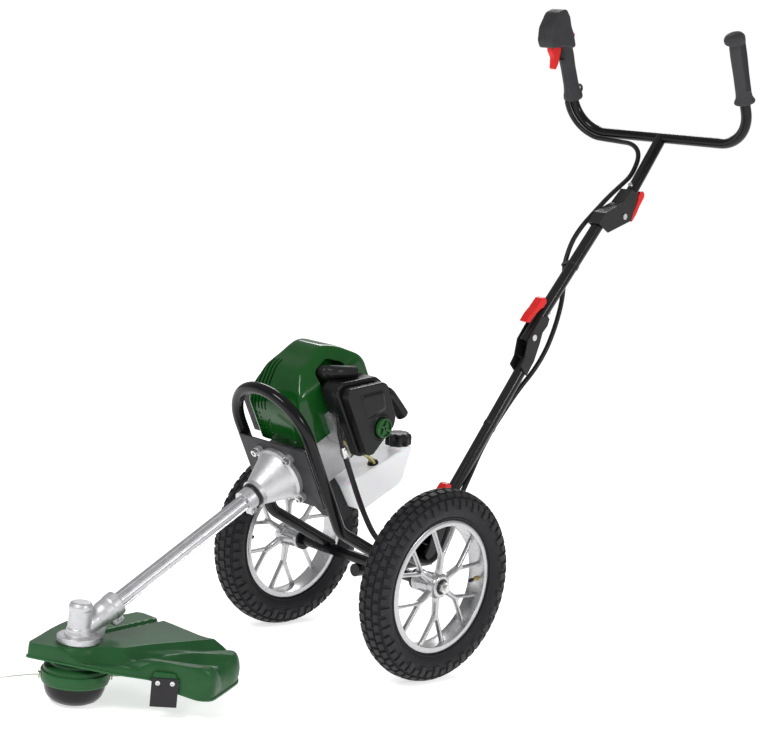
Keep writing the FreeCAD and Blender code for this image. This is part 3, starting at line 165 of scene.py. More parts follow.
class Nodes:
    """A short way to lay out a material's node tree."""

    def __init__(self, name):
        self.material = bpy.data.materials.new(name)
        self.material.use_nodes = True
        self.tree = self.material.node_tree
        self.shader = self.tree.nodes["Principled BSDF"]
        self.place = self.add("ShaderNodeTexCoord").outputs["Object"]

    def add(self, kind, **inputs):
        node = self.tree.nodes.new(kind)
        for name, value in inputs.items():
            socket = node.inputs[name.replace("_", " ")]
            if isinstance(value, bpy.types.NodeSocket):
                self.tree.links.new(value, socket)
            else:
                socket.default_value = value
        return node

    def noise(self, scale, detail=4.0, roughness=0.55, stretch=(1, 1, 1)):
        """Noise over the object's own place; scale is features per metre."""
        mapping = self.add("ShaderNodeMapping", Vector=self.place, Scale=stretch)
        return self.add("ShaderNodeTexNoise", Vector=mapping.outputs["Vector"], Scale=scale,
                        Detail=detail, Roughness=roughness).outputs["Fac"]

    def ramp(self, fac, low, high, start=0.3, end=0.7):
        node = self.add("ShaderNodeMapRange", Value=fac)
        node.inputs["From Min"].default_value = start
        node.inputs["From Max"].default_value = end
        node.inputs["To Min"].default_value = low
        node.inputs["To Max"].default_value = high
        return node.outputs["Result"]

    def mix(self, fac, first, second):
        node = self.tree.nodes.new("ShaderNodeMix")
        node.data_type = "RGBA"
        self.tree.links.new(fac, node.inputs["Factor"])
        for socket, colour in ((node.inputs["A"], first), (node.inputs["B"], second)):
            if isinstance(colour, bpy.types.NodeSocket):
                self.tree.links.new(colour, socket)
            else:
                socket.default_value = (*colour, 1)
        return node.outputs["Result"]

    def wear(self):
        """1 on sharp edges and corners, 0 on flat faces."""
        geometry = self.add("ShaderNodeNewGeometry")
        return self.ramp(geometry.outputs["Pointiness"], 0, 1, 0.52, 0.62)

    def colour(self, value):
        self.set("Base Color", value)

    def set(self, name, value):
        socket = self.shader.inputs[name]
        if isinstance(value, bpy.types.NodeSocket):
            self.tree.links.new(value, socket)
        elif isinstance(value, tuple):
            socket.default_value = (*value, 1)
        else:
            socket.default_value = value

    def bump(self, height, distance, strength=0.5):
        node = self.add("ShaderNodeBump", Height=height, Distance=distance, Strength=strength)
        self.tree.links.new(node.outputs["Normal"], self.shader.inputs["Normal"])


def coated(name, first, second, rubbed, mottle, detail, spread, gloss, shine):
    """Two mottled shades with rubbed edges; gloss is the roughness noise's scale and its two ends."""
    nodes = Nodes(name)
    body = nodes.mix(nodes.ramp(nodes.noise(mottle, detail=detail), 0, spread), first, second)
    nodes.colour(nodes.mix(nodes.wear(), body, rubbed))
    scale, smoothest, roughest = gloss
    nodes.set("Roughness", nodes.ramp(nodes.noise(scale), smoothest, roughest))
    nodes.set("Specular IOR Level", shine)
    return nodes


def shaded(colour, factor, lift=0.0):
    """The colour made lighter or darker, and no brighter than white."""
    return tuple(min(1, c * factor + lift) for c in colour)


def paint(name, colour, roughness, coat=0.0, grain=900, depth=0.000006):
    """Sprayed or powder-coated metal: fine orange peel, patchy gloss, colour rubbed a little at edges."""
    nodes = coated(name, colour, shaded(colour, 1.3, 0.003), shaded(colour, 1, 0.01), 14, 3, 0.5,
                   (45, roughness * 0.8, roughness * 1.35), 0.2)
    nodes.set("Coat Weight", coat)
    nodes.set("Coat Roughness", 0.12)
    nodes.bump(nodes.noise(grain, detail=2), depth, 0.5)
    return nodes.material


def plastic(name, colour, roughness, grain=1600, depth=0.00008, shade=0.75, coat=0.0):
    """Moulded plastic: fine spark-eroded grain, soft mottling and paler rubbed edges."""
    nodes = coated(name, shaded(colour, shade), colour, shaded(colour, 1.35, 0.01), 22, 4, 1,
                   (60, roughness * 0.85, roughness * 1.2), 0.25)
    nodes.set("Coat Weight", coat)
    nodes.set("Coat Roughness", 0.08)
    nodes.bump(nodes.noise(grain, detail=3), depth, 0.45)
    return nodes.material


def metal(name, colour, roughness, grain=700, depth=0.00008, stretch=(1, 1, 1), shade=0.8, metallic=1.0):
    """Cast, turned or drawn metal: noise stretched along the work for brushed surfaces."""
    nodes = Nodes(name)
    streak = nodes.noise(grain, detail=5, stretch=stretch)
    nodes.colour(nodes.mix(nodes.ramp(streak, 0, 1), tuple(c * shade for c in colour), colour))
    nodes.set("Metallic", metallic)
    nodes.set("Roughness", nodes.ramp(nodes.noise(90, stretch=stretch), roughness * 0.8, roughness * 1.3))
    nodes.bump(streak, depth, 0.5)
    return nodes.material


def rubber(name, colour, roughness, grain=1200, depth=0.00015, dust=0.06):
    """Rubber with a dusty bloom in broad patches and a fine tooth."""
    nodes = coated(name, colour, shaded(colour, 1, dust * 0.5), shaded(colour, 1, dust), 9, 6, 1,
                   (120, roughness * 0.85, min(1.0, roughness * 1.1)), 0.22)
    nodes.bump(nodes.noise(grain, detail=4), depth, 0.5)
    return nodes.material


def tank_plastic_painted_glow():
    nodes = Nodes("tank_plastic_painted_glow")
    nodes.colour(nodes.mix(nodes.ramp(nodes.noise(16), 0, 1), (0.90, 0.91, 0.92), (0.96, 0.96, 0.98)))
    nodes.set("Roughness", nodes.ramp(nodes.noise(80), 0.28, 0.42))
    nodes.set("Subsurface Weight", 0.35)
    nodes.set("Subsurface Scale", 0.004)
    # Painted light: a faint bluish-white emission makes the tank glow as if lit, though it is no lamp
    nodes.set("Emission Color", (0.93, 0.94, 1.0))
    nodes.set("Emission Strength", 0.16)
    nodes.bump(nodes.noise(700, detail=3), 0.00012, 0.35)
    return nodes.material


def clear_hose():
    nodes = Nodes("clear_hose")
    nodes.colour(nodes.mix(nodes.ramp(nodes.noise(120), 0, 1), (0.55, 0.47, 0.12), (0.70, 0.64, 0.24)))
    nodes.set("Roughness", 0.25)
    nodes.set("Transmission Weight", 0.25)
    nodes.bump(nodes.noise(500), 0.0001, 0.3)
    return nodes.material


GLOSS_BLACK = paint("gloss_black", (0.004, 0.004, 0.005), 0.16, coat=0.08, grain=1500, depth=0.00002)
PLATE_GREY = paint("plate_grey", (0.020, 0.020, 0.023), 0.42)
DARK_STEEL = paint("dark_steel", (0.017, 0.015, 0.019), 0.36)
BRACKET_BLACK = paint("bracket_black", (0.012, 0.011, 0.011), 0.38)
CAST_ALLOY = metal("cast_alloy", (0.70, 0.70, 0.72), 0.46, grain=900, depth=0.00012, metallic=0.9)
WHEEL_ALLOY = metal("wheel_alloy", (0.56, 0.56, 0.57), 0.30, grain=420, depth=0.00006, metallic=0.95)
SHAFT_ALLOY = metal("shaft_alloy", (0.60, 0.60, 0.62), 0.34, grain=300, depth=0.000005, shade=0.94,
                    metallic=0.95)
BRIGHT_STEEL = metal("bright_steel", (0.72, 0.72, 0.71), 0.26, grain=900)
BRASS = metal("brass", (0.62, 0.46, 0.17), 0.3, grain=900)
COWL_GREEN = plastic("cowl_green", (0.005, 0.070, 0.009), 0.15, grain=200, depth=0.000002, shade=0.85,
                     coat=0.12)
GUARD_GREEN = plastic("guard_green", (0.016, 0.092, 0.026), 0.34, grain=1100, depth=0.00008)
BLACK_PLASTIC = plastic("black_plastic", (0.007, 0.007, 0.008), 0.30)
MATTE_BLACK = plastic("matte_black", (0.034, 0.034, 0.037), 0.52, grain=1300, depth=0.00014)
BOWL_BLACK = plastic("bowl_black", (0.004, 0.003, 0.004), 0.14, shade=0.9, coat=0.1)
RED_PLASTIC = plastic("red_plastic", (0.70, 0.016, 0.014), 0.32, shade=0.88)
TYRE_RUBBER = rubber("tyre_rubber", (0.010, 0.010, 0.012), 0.55, dust=0.012)
SHEATH = rubber("cable_sheath", (0.010, 0.010, 0.011), 0.34, grain=500, depth=0.00008, dust=0.010)
GRIP_FOAM = rubber("grip_foam", (0.036, 0.036, 0.039), 0.68, grain=650, depth=0.0003, dust=0.014)
# The tank's material carries a painted glow from its emission, besides its white colour
TANK_WHITE = tank_plastic_painted_glow()
HOSE_YELLOW = clear_hose()
LINE_NYLON = plastic("line_nylon", (0.62, 0.68, 0.60), 0.3, grain=400)
EYELET_STEEL = metal("eyelet", (0.82, 0.80, 0.66), 0.35, grain=900, metallic=0.6)

NODE_MATERIALS = {
    GLOSS_BLACK: ("main_hoop", "axle_beam", "lower_tube", "middle_tube", "handlebar"),
    DARK_STEEL: ("muffler", "line_cutter"),
    BRACKET_BLACK: ("lower_bracket", "upper_bracket"),
    PLATE_GREY: ("mount_plate",),
    CAST_ALLOY: ("clutch_housing", "shaft_collar", "gear_case", "crankcase", "cylinder", "carburettor"),
    SHAFT_ALLOY: ("shaft_tube",),
    WHEEL_ALLOY: ("rim_left", "rim_right"),
    BRIGHT_STEEL: ("axle_rod", "wheel_bearings", "machine_screws", "drive_shaft", "clutch_drum",
                   "crankshaft", "output_spindle", "base_hinge_pins", "lower_hinge_pins",
                   "upper_hinge_pins"),
    GUARD_GREEN: ("debris_guard", "trimmer_housing"),
    COWL_GREEN: ("engine_cowl", "filter_knob"),
    BLACK_PLASTIC: ("starter_housing", "filter_base", "filter_cover", "tank_foot", "line_spool",
                    "fuel_cap", "starter_handle"),
    MATTE_BLACK: ("throttle_shell_left", "throttle_shell_right"),
    BOWL_BLACK: ("bump_knob",),
    SHEATH: ("plug_boot", "engine_cable", "lower_cable", "middle_cable", "upper_cable"),
    GRIP_FOAM: ("hand_grip",),
    RED_PLASTIC: ("trigger", "lockout_lever", "stop_switch", "base_lever", "lower_lever", "upper_lever"),
    TYRE_RUBBER: ("tyre_left", "tyre_right"),
    TANK_WHITE: ("fuel_tank",),
    HOSE_YELLOW: ("fuel_hoses",),
    LINE_NYLON: ("trimmer_line",),
}


def dress_nodes():
    """Gives every CAD node its material, and the folded or cast ones a small radius on their edges."""
    for material, names in NODE_MATERIALS.items():
        for name in names:
            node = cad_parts[name]
            node.data.materials.clear()
            node.data.materials.append(material)
    for name in ("mount_plate", "lower_bracket", "upper_bracket", "line_cutter", "crankcase", "muffler",
                 "tank_foot", "filter_base", "shaft_collar"):
        add_bevel(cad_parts[name], 0.0012, 2)


def add_bevel(thing, width, segments):
    bevel = thing.modifiers.new("edges", "BEVEL")
    bevel.width = width
    bevel.segments = segments
    bevel.limit_method = "ANGLE"
    bevel.angle_limit = math.radians(35)


# ---------------------------------------------------------------- mesh tools

def new_mesh(name, vertices, faces, place):
    """A mesh object from local millimetre points, put straight into the row frame."""
    mesh = bpy.data.meshes.new(name)
    mesh.from_pydata([place @ Vector(point) for point in vertices], [], faces)
    build = bmesh.new()
    build.from_mesh(mesh)
    bmesh.ops.remove_doubles(build, verts=build.verts, dist=1e-6)
    bmesh.ops.recalc_face_normals(build, faces=build.faces)
    build.to_mesh(mesh)
    build.free()
    return add_object(name, mesh)


def dress(thing, material, body, replaced=(), sharp=38):
    """Material, shading and place in the machine for a finished piece."""
    thing.data.materials.clear()
    thing.data.materials.append(material)
    if thing.type == "MESH":
        thing.data.polygons.foreach_set("use_smooth", [True] * len(thing.data.polygons))
        thing.data.set_sharp_from_angle(angle=math.radians(sharp))
    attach(thing, body)
    if replaced:
        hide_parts(*replaced)
    return thing


def baked(thing):
    """The piece with its modifiers applied."""
    graph = bpy.context.evaluated_depsgraph_get()
    mesh = bpy.data.meshes.new_from_object(thing.evaluated_get(graph))
    thing.modifiers.clear()
    thing.data = mesh
    return thing


def joined(name, things):
    """Several mesh objects as one."""
    build = bmesh.new()
    for thing in things:
        build.from_mesh(thing.data)
        bpy.data.objects.remove(thing)
    mesh = bpy.data.meshes.new(name)
    build.to_mesh(mesh)
    build.free()
    return add_object(name, mesh)


def grid_faces(rows, count, looped=False):
    """The quads between rows of count points; looped joins the last row to the first."""
    faces = []
    for row in range(rows if looped else rows - 1):
        following = (row + 1) % rows
        for index in range(count):
            after = (index + 1) % count
            faces.append((row * count + index, row * count + after,
                          following * count + after, following * count + index))
    return faces


def loft(name, rings, place):
    """A solid through rings of equal length, with a flat cap on the first and the last."""
    count = len(rings[0])
    vertices = [point for ring in rings for point in ring]
    caps = [tuple(range(count)), tuple(range(len(vertices) - 1, len(vertices) - 1 - count, -1))]
    return new_mesh(name, vertices, caps + grid_faces(len(rings), count), place)


def on_axes(outline, level, axes):
    """The outline's points at a level; axes says which local axes hold the outline and the level."""
    return [tuple(value for axis, value in sorted(zip(axes, (*point, level)))) for point in outline]


def lathe(name, profile, place, steps=96, lobes=0, depth=0.0):
    """A closed profile of (radius, height) turned about local Z. Lobes wave the outer radius."""
    vertices = []
    limit = max(radius for radius, height in profile)
    for step in range(steps):
        angle = 2 * math.pi * step / steps
        for radius, height in profile:
            wave = depth * (0.5 - 0.5 * math.cos(lobes * angle)) * (radius / limit) ** 4 if lobes else 0
            reach = max(radius - wave, 0)
            vertices.append((reach * math.cos(angle), reach * math.sin(angle), height))
    return new_mesh(name, vertices, grid_faces(steps, len(profile), looped=True), place)


def corners_of(loop):
    """Each corner of a closed loop, with the ways to the corners before and after it."""
    for index, point in enumerate(loop):
        corner = Vector(point)
        yield corner, Vector(loop[index - 1]) - corner, Vector(loop[(index + 1) % len(loop)]) - corner


def bend(corner, before, after, reach, steps):
    """A smooth turn at a corner, from reach before it to reach after it."""
    start = corner + before.normalized() * reach
    end = corner + after.normalized() * reach
    shares = [step / steps for step in range(steps + 1)]
    return [tuple(start.lerp(corner, share).lerp(corner.lerp(end, share), share)) for share in shares]


def rounded(corners, radius, steps=5):
    """A closed outline with each corner rounded; radius is one number or one for each corner."""
    result = []
    longest = 0.48
    radii = radius if isinstance(radius, (list, tuple)) else [radius] * len(corners)
    for own_radius, (corner, before, after) in zip(radii, corners_of(corners)):
        half = before.angle(after) / 2
        reach = min(own_radius / math.tan(half), longest * before.length, longest * after.length)
        result += bend(corner, before, after, reach, steps)
    return result


def inset_loop(loop, amount):
    """The closed loop moved inward by a distance; the loop runs counter-clockwise."""
    result = []
    for corner, before, after in corners_of(loop):
        tangent = after.normalized() - before.normalized()
        if tangent.length < 1e-6:
            tangent = after
        normal = Vector((-tangent.y, tangent.x)).normalized()
        result.append(tuple(corner + normal * amount))
    return result


def counter_clockwise(loop):
    area = sum(a[0] * b[1] - b[0] * a[1] for a, b in zip(loop, loop[1:] + loop[:1]))
    return loop if area > 0 else list(reversed(loop))


def pillow(name, outline, low, high, edge, place, axes="xyz", steps=4):
    """A slab between two levels whose rims are rounded by an edge radius."""
    loop = counter_clockwise([tuple(point) for point in outline])
    turns = [math.pi / 2 * step / steps for step in range(steps + 1)]
    rims = [(edge * (1 - math.cos(turn)), edge * (1 - math.sin(turn))) for turn in turns]
    levels = [(low + rise, amount) for rise, amount in rims]
    levels += [(high - rise, amount) for rise, amount in reversed(rims)]
    return loft(name, [on_axes(inset_loop(loop, amount), level, axes) for level, amount in levels], place)


def outward(thing):
    """Turns every face of a closed piece to look out of it."""
    shape = bmesh.new()
    shape.from_mesh(thing.data)
    bmesh.ops.recalc_face_normals(shape, faces=shape.faces)
    shape.to_mesh(thing.data)
    shape.free()
    return thing


def prism(name, outline, low, high, place, axes="xyz"):
    """A straight-sided slab between two levels."""
    return loft(name, [on_axes(outline, level, axes) for level in (low, high)], place)


def boolean(thing, other, operation):
    """Combines two pieces and removes the second."""
    outward(thing)
    change = thing.modifiers.new("boolean", "BOOLEAN")
    change.operation = operation
    change.solver = "EXACT"
    change.use_self = True
    change.object = outward(other)
    baked(thing)
    bpy.data.objects.remove(other)
    return thing


def carve(thing, cutters):
    """Takes the cutters' shapes out of the piece."""
    return boolean(thing, joined(thing.name + "_cutter", cutters), "DIFFERENCE")


def moulded(name, things, voxel=1.5, rounds=14):
    """Overlapping solids grown into one skin whose edges are all softly rounded."""
    whole = joined(name, things)
    remesh = whole.modifiers.new("skin", "REMESH")
    remesh.mode = "VOXEL"
    remesh.voxel_size = voxel * MM
    smooth = whole.modifiers.new("edges", "SMOOTH")
    smooth.factor = 0.5
    smooth.iterations = rounds
    return baked(whole)


def cord_mesh(name, points, radius, place, sides=16):
    """A round cord on a NURBS line through control points in the local frame, as a mesh."""
    data = bpy.data.curves.new(name, "CURVE")
    data.dimensions = "3D"
    spline = data.splines.new("NURBS")
    spline.points.add(len(points) - 1)
    for target, point in zip(spline.points, points):
        target.co = (*(place @ Vector(point)), 1)
    spline.order_u = 3
    spline.use_endpoint_u = True
    spline.resolution_u = 10
    data.bevel_depth = radius * MM
    data.bevel_resolution = sides // 4
    data.use_fill_caps = True
    curve = add_object(name, data)
    graph = bpy.context.evaluated_depsgraph_get()
    mesh = bpy.data.meshes.new_from_object(curve.evaluated_get(graph))
    bpy.data.objects.remove(curve)
    return add_object(name, mesh)


# ---------------------------------------------------------------- wheels

CARCASS = [(0, 176.0), (9, 175.4), (16, 172.6), (22, 167.5), (26, 160.5), (28, 152), (26.5, 141),
           (22, 132), (17.2, 126)]
TREAD_BLOCKS = 54


def carcass_point(across, angle, lift):
    """A point on the tyre: across runs from -1 to 1 over the profile, lift stands it off the casing."""
    spread = abs(across) * (len(CARCASS) - 1)
    index = min(int(spread), len(CARCASS) - 2)
    share = spread - index
    (z1, r1), (z2, r2) = CARCASS[index], CARCASS[index + 1]
    z, r = z1 + (z2 - z1) * share, r1 + (r2 - r1) * share
    normal = Vector((r1 - r2, z2 - z1)).normalized()
    z += normal.x * lift
    r += normal.y * lift
    if across < 0:
        z = -z
    return (r * math.cos(angle), r * math.sin(angle), z)


def ring_profile(radius, height, thickness, steps=8):
    """A small round section for a turned ring."""
    return [(radius + thickness * math.cos(2 * math.pi * step / steps),
             height + thickness * math.sin(2 * math.pi * step / steps)) for step in range(steps)]


def ring_mesh(name, radius, thickness, place):
    """A plain round ring lying in the local XY plane."""
    return lathe(name, ring_profile(radius, 0, thickness), place, 40)


def tread_block(vertices, faces, across, angle, height):
    """One raised block over a patch of the casing, with its top a little smaller than its foot."""
    (left, right), (start, end) = across, angle
    first = len(vertices)
    for shrink, lift in ((0.0, -1.2), (0.10, height)):
        dx = (right - left) * shrink
        da = (end - start) * shrink
        middle = (left + right) / 2
        for u in (left + dx, middle, right - dx):
            for a in (start + da, end - da):
                vertices.append(carcass_point(u, a, lift))
    foot, top = first, first + 6
    for row in (0, 2):
        faces.append((top + row, top + row + 1, top + row + 3, top + row + 2))
    for a, b in ((0, 1), (1, 3), (3, 5), (5, 4), (4, 2), (2, 0)):
        faces.append((foot + a, foot + b, top + b, top + a))


def tyre(side, name):
    place = wheel(side)
    body = "left_wheel" if side > 0 else "right_wheel"
    profile = []
    for step in range(-16, 17):
        radius, _, height = carcass_point(step / 16, 0, 0)
        profile.append((radius, height))
    profile += [(125, 17.2), (116.8, 16.6), (116.8, 10), (128, 11), (128, -11), (116.8, -10),
                (116.8, -16.6), (125, -17.2)]
    casing = lathe(name + "_casing", profile, place, steps=144)
    vertices, faces = [], []
    pitch = 2 * math.pi / TREAD_BLOCKS
    for index in range(TREAD_BLOCKS):
        turn = index * pitch
        for hand in (-1, 1):
            shift = turn + (pitch / 2 if hand > 0 else 0)
            tread_block(vertices, faces, sorted((hand * 0.02, hand * 0.19)),
                        (shift + 0.06 * pitch, shift + 0.86 * pitch), 3.6)
            tread_block(vertices, faces, sorted((hand * 0.22, hand * 0.37)),
                        (shift + 0.46 * pitch, shift + 1.26 * pitch), 3.8)
            long = 0.70 if index % 2 else 0.60
            tread_block(vertices, faces, sorted((hand * 0.40, hand * long)),
                        (shift + 0.02 * pitch, shift + 0.78 * pitch), 3.4)
    blocks = new_mesh(name + "_blocks", vertices, faces, place)
    rings = [lathe(f"{name}_bead{hand}", ring_profile(129.0, hand * 20.6, 1.6), place, steps=144)
             for hand in (-1, 1)]
    whole = joined(name + "_rubber", [casing, blocks] + rings)
    dress(whole, TYRE_RUBBER, body, (name,), sharp=30)


def spoke_bar(name, start, end, widths, depths, levels, place):
    """A tapered spoke between two points of the wheel's plane, crowned on its outboard face."""
    start, end = Vector(start), Vector(end)
    along = (end - start).normalized()
    across = Vector((-along.y, along.x))
    section = [(-0.5, 0.0), (-0.5, 0.62), (-0.3, 0.92), (0.0, 1.0), (0.3, 0.92), (0.5, 0.62), (0.5, 0.0),
               (0.28, -0.12), (-0.28, -0.12)]
    rings = []
    for row in range(7):
        share = row / 6
        centre = start.lerp(end, share)
        flare = 1 + 0.35 * (2 * share - 1) ** 4
        width = (widths[0] + (widths[1] - widths[0]) * share) * flare
        depth = depths[0] + (depths[1] - depths[0]) * share
        level = levels[0] + (levels[1] - levels[0]) * share
        rings.append([(*(centre + across * side * width), level + (height - 1) * depth)
                      for side, height in section])
    return loft(name, rings, place)


def rim(side, name):
    place = wheel(side)
    body = "left_wheel" if side > 0 else "right_wheel"
    barrel = lathe(name + "_barrel", [
        (113.2, 17), (114, 19.4), (118, 20), (122.6, 19.6), (124.2, 18.6), (124.2, 17.4), (122, 16.8),
        (117, 16), (116, 13), (115.6, 0), (116, -13), (117, -16), (122, -16.8), (124.2, -17.4),
        (124.2, -18.6), (122.6, -19.6), (118, -20), (114, -19.4), (113.2, -17), (112.6, -8), (112, 0),
        (112.6, 8)], place, steps=128)
    hub = lathe(name + "_hub", [
        (14.1, 8), (14.1, 17.4), (15, 18), (19, 18), (20.5, 17), (22, 13), (24, 10), (24, 4), (20, 1),
        (17.5, -4), (16.5, -20), (17.5, -32), (20, -36), (20.5, -41), (19.5, -42), (14.1, -42),
        (14.1, -33), (9, -33), (9, 8)], place, steps=64)
    things = [barrel, hub]
    for index in range(6):
        turn = place @ Matrix.Rotation(2 * math.pi * index / 6, 4, "Z")
        things.append(spoke_bar(f"{name}_stem{index}", (17, 0), (64, 0), (12, 8), (12, 10), (13, 14), turn))
        for hand in (-1, 1):
            angle = math.radians(15 * hand)
            things.append(spoke_bar(f"{name}_arm{index}_{hand + 1}", (57, 1.4 * hand),
                                    (114.5 * math.cos(angle), 114.5 * math.sin(angle)),
                                    (6.0, 6.6), (8.5, 8), (13.6, 11), turn))
        rib = turn @ Matrix.Rotation(math.radians(30), 4, "Z")
        things.append(pillow(f"{name}_rib{index}", [(-36, 16), (2, 16), (8, 23.4), (-2, 22), (-30, 19.5)],
                             -1.6, 1.6, 0.6, rib, axes="zxy", steps=2))
    whole = joined(name + "_casting", things)
    dress(whole, WHEEL_ALLOY, body, (name,), sharp=32)
    trim_wheel(side, name, body, place)


def trim_wheel(side, name, body, place):
    """The black seal round the axle, and the tyre valve with its cap."""
    seal = lathe(name + "_seal_ring", [(9.4, 17.6), (9.4, 18.8), (13.9, 18.8), (14.0, 17.6)], place, steps=48)
    dress(seal, BLACK_PLASTIC, body)
    spot = place @ Matrix.Rotation(math.radians(90 if side > 0 else -90), 4, "Z")
    lean = spot @ Matrix.Translation((111.5, 0, 2)) @ Matrix.Rotation(math.radians(-75), 4, "Y")
    stem = lathe(name + "_valve_stem", [(0, -1), (4.6, -1), (4.4, 3), (2.8, 5), (2.6, 17), (0, 17)], lean, 24)
    dress(stem, BRASS, body)
    cap = lathe(name + "_valve_cap", [(0, 16), (3.6, 16), (3.9, 17), (3.9, 25), (3.2, 27), (0, 27)], lean, 24,
                lobes=8, depth=0.4)
    dress(cap, BLACK_PLASTIC, body)


# ---------------------------------------------------------------- engine

COWL_SIDE = [(18, 46), (20, 118), (45, 148), (74, 172), (108, 174), (124, 179), (142, 181), (165, 169),
             (192, 138), (207, 112), (203, 46)]
HOSE_GAP = 8


def engine_cowl():
    """The glossy dome: a side profile crossed with a front profile and a plan, then louvred and pierced."""
    side = rounded([(y * 1.02 - 2, z + (4 if z > 100 else -12)) for y, z in COWL_SIDE],
                   [4, 18, 30, 26, 40, 30, 30, 26, 18, 14, 6])
    dome = prism("cowl_side", side, -86, 70, ENGINE, axes="yzx")
    front = rounded([(-77, 30), (-75, 136), (-44, 190), (30, 190), (64, 140), (64, 30)],
                    [3, 34, 40, 44, 34, 3], 8)
    boolean(dome, prism("cowl_front", front, 10, 220, ENGINE, axes="xzy"), "INTERSECT")
    plan = rounded([(-78, 16), (63.6, 16), (63.6, 210), (-78, 210)], 28, 8)
    boolean(dome, prism("cowl_plan", plan, 20, 200, ENGINE, axes="xyz"), "INTERSECT")
    shell = moulded("cowl_dome", [dome], voxel=2.4, rounds=44)
    raised = pillow("cowl_panel", rounded([(-28, 58), (42, 55), (45, 92), (10, 112), (-20, 94)], 12),
                    15.5, 26, 2.4, ENGINE, axes="xzy")
    shell = moulded("cowl_shell", [shell, raised], voxel=1.7, rounds=12)
    carve(shell, [prism("cowl_hem", [(-80, 0), (80, 0), (80, 46), (-80, 46)], 0, 230, ENGINE, axes="xzy")])
    slit = [(2, 118), (30, 154), (60, 188), (86, 196), (90, 166), (72, 162), (46, 136), (26, 110)]
    carve(shell, [prism(f"louvre{index}", slit, -62 + 9 * index, -58 + 9 * index, ENGINE, axes="yzx")
                  for index in range(5)])
    holes = []
    for across in range(2):
        for row in range(5):
            place = ENGINE @ moved(-54 + 9 * across, 8, 64 + 9.5 * row, -90, "X")
            holes.append(lathe(f"cowl_hole{across}{row}", [(0, 0), (2.5, 0), (2.5, 24), (0, 24)], place, 12))
    carve(shell, holes)
    recess = rounded([(84, 118), (120, 108), (152, 102), (154, 148), (130, 168), (92, 162)], 14, 5)
    carve(shell, [pillow("cowl_recess", recess, 39, 90, 6, ENGINE, axes="yzx")])
    dress(shell, COWL_GREEN, "frame", ("engine_cowl",), sharp=42)


def plug_boot():
    """The rubber elbow over the plug, with its lead running back into the cowl."""
    elbow = cord_mesh("boot_elbow", [(40, 110, 150), (58, 111, 154), (74, 117, 152), (78, 134, 142),
                                     (78, 156, 128)], 12.4, ENGINE, 24)
    collar = lathe("boot_collar", [(0, 0), (12.5, 0), (13.5, 4), (13.5, 12), (11, 17), (0, 17)],
                   ENGINE @ moved(50, 111, 152, 90, "Y"), 40)
    whole = moulded("plug_cap_boot", [elbow, collar], voxel=1.0, rounds=6)
    dress(whole, SHEATH, "frame", ("plug_boot",), sharp=60)


def filter_cover():
    """The filter's hood with four louvres on top, and the lid with a blank raised panel."""
    hood_line = rounded([(82, 0), (98, -8), (168, 12), (178, 26), (186, 98), (176, 114), (98, 147),
                         (80, 138)], [8, 10, 14, 10, 14, 16, 22, 16])
    lid_line = rounded([(88, 2), (102, -4), (168, 17), (177, 30), (182, 96), (175, 106), (97, 138),
                        (87, 128)], [10, 12, 16, 12, 14, 14, 20, 14])
    brow_line = rounded([(80, 84), (186, 66), (186, 98), (176, 114), (98, 147), (78, 138)],
                        [8, 8, 14, 16, 22, 16])
    hood = moulded("filter_hood", [prism("hood_block", hood_line, 88.5, 110.4, ENGINE, axes="yzx"),
                                   prism("hood_brow", brow_line, 70, 100, ENGINE, axes="yzx")], 1.4, 16)
    cutters = []
    for index in range(4):
        y = 108 + 9 * index
        top = 143 - 3.9 * index
        slot = [(y, top - 12), (y + 4.4, top - 14), (y + 4.4, top + 8), (y, top + 8)]
        cutters.append(prism(f"filter_louvre{index}", slot, 84, 106, ENGINE, axes="yzx"))
    carve(hood, cutters)
    dress(hood, BLACK_PLASTIC, "frame", ("filter_cover",), sharp=50)
    panel = pillow("filter_panel", rounded([(112, 66), (160, 60), (166, 92), (114, 112)], 6), 122, 130.6, 1.4,
                   ENGINE, axes="yzx", steps=3)
    dish = lathe("filter_dish", [(19.5, 0), (23, 0), (23, 2.6), (21.5, 3.4), (19.5, 2.6)],
                 ENGINE @ moved(127.4, 138, 32, 90, "Y"), 64)
    block = prism("lid_block", lid_line, 111, 128.6, ENGINE, axes="yzx")
    lid = moulded("filter_lid", [block, panel, dish], 1.2, 10)
    dress(lid, BLACK_PLASTIC, "frame", sharp=50)


def filter_knob():
    place = ENGINE @ moved(129, 138, 32, 90, "Y")
    disc = lathe("knob_disc", [(0, 2), (16.5, 2), (18, 3.4), (18, 8), (16.6, 9.8), (14.8, 9.8), (13.8, 6.6),
                               (0, 6.2)], place, steps=72)
    bars = []
    for index in range(2):
        turn = place @ Matrix.Rotation(math.radians(38 + 90 * index), 4, "Z")
        bars.append(pillow(f"knob_bar{index}", rounded([(-15, -3), (15, -3), (15, 3), (-15, 3)], 2.2, 3),
                           5, 9.7, 1.4, turn, steps=3))
    whole = joined("filter_turn_knob", [disc] + bars)
    dress(whole, COWL_GREEN, "filter_screw", ("filter_knob",), sharp=34)


def starter_handle():
    """The grip of the pull cord and the short cord behind it."""
    bar = cord_mesh("pull_bar", [(48, 236, 28), (48, 240, 24), (48, 246, 4), (48, 252, -16), (48, 257, -34)],
                    12.6, ENGINE, 24)
    neck = lathe("pull_neck", [(0, 0), (6.5, 0), (8, 14), (7, 20), (0, 20)],
                 ENGINE @ moved(48, 224, 10, -90, "X"), 32)
    whole = moulded("pull_grip", [bar, neck], 1.1, 8)
    dress(whole, BLACK_PLASTIC, "starter_pull", ("starter_handle",), sharp=60)
    rope = cord_mesh("pull_cord", [(48, 122, 10), (48, 150, 10), (48, 190, 10), (48, 228, 10)], 2.0,
                     ENGINE, 12)
    dress(rope, SHEATH, "starter_pull", sharp=60)


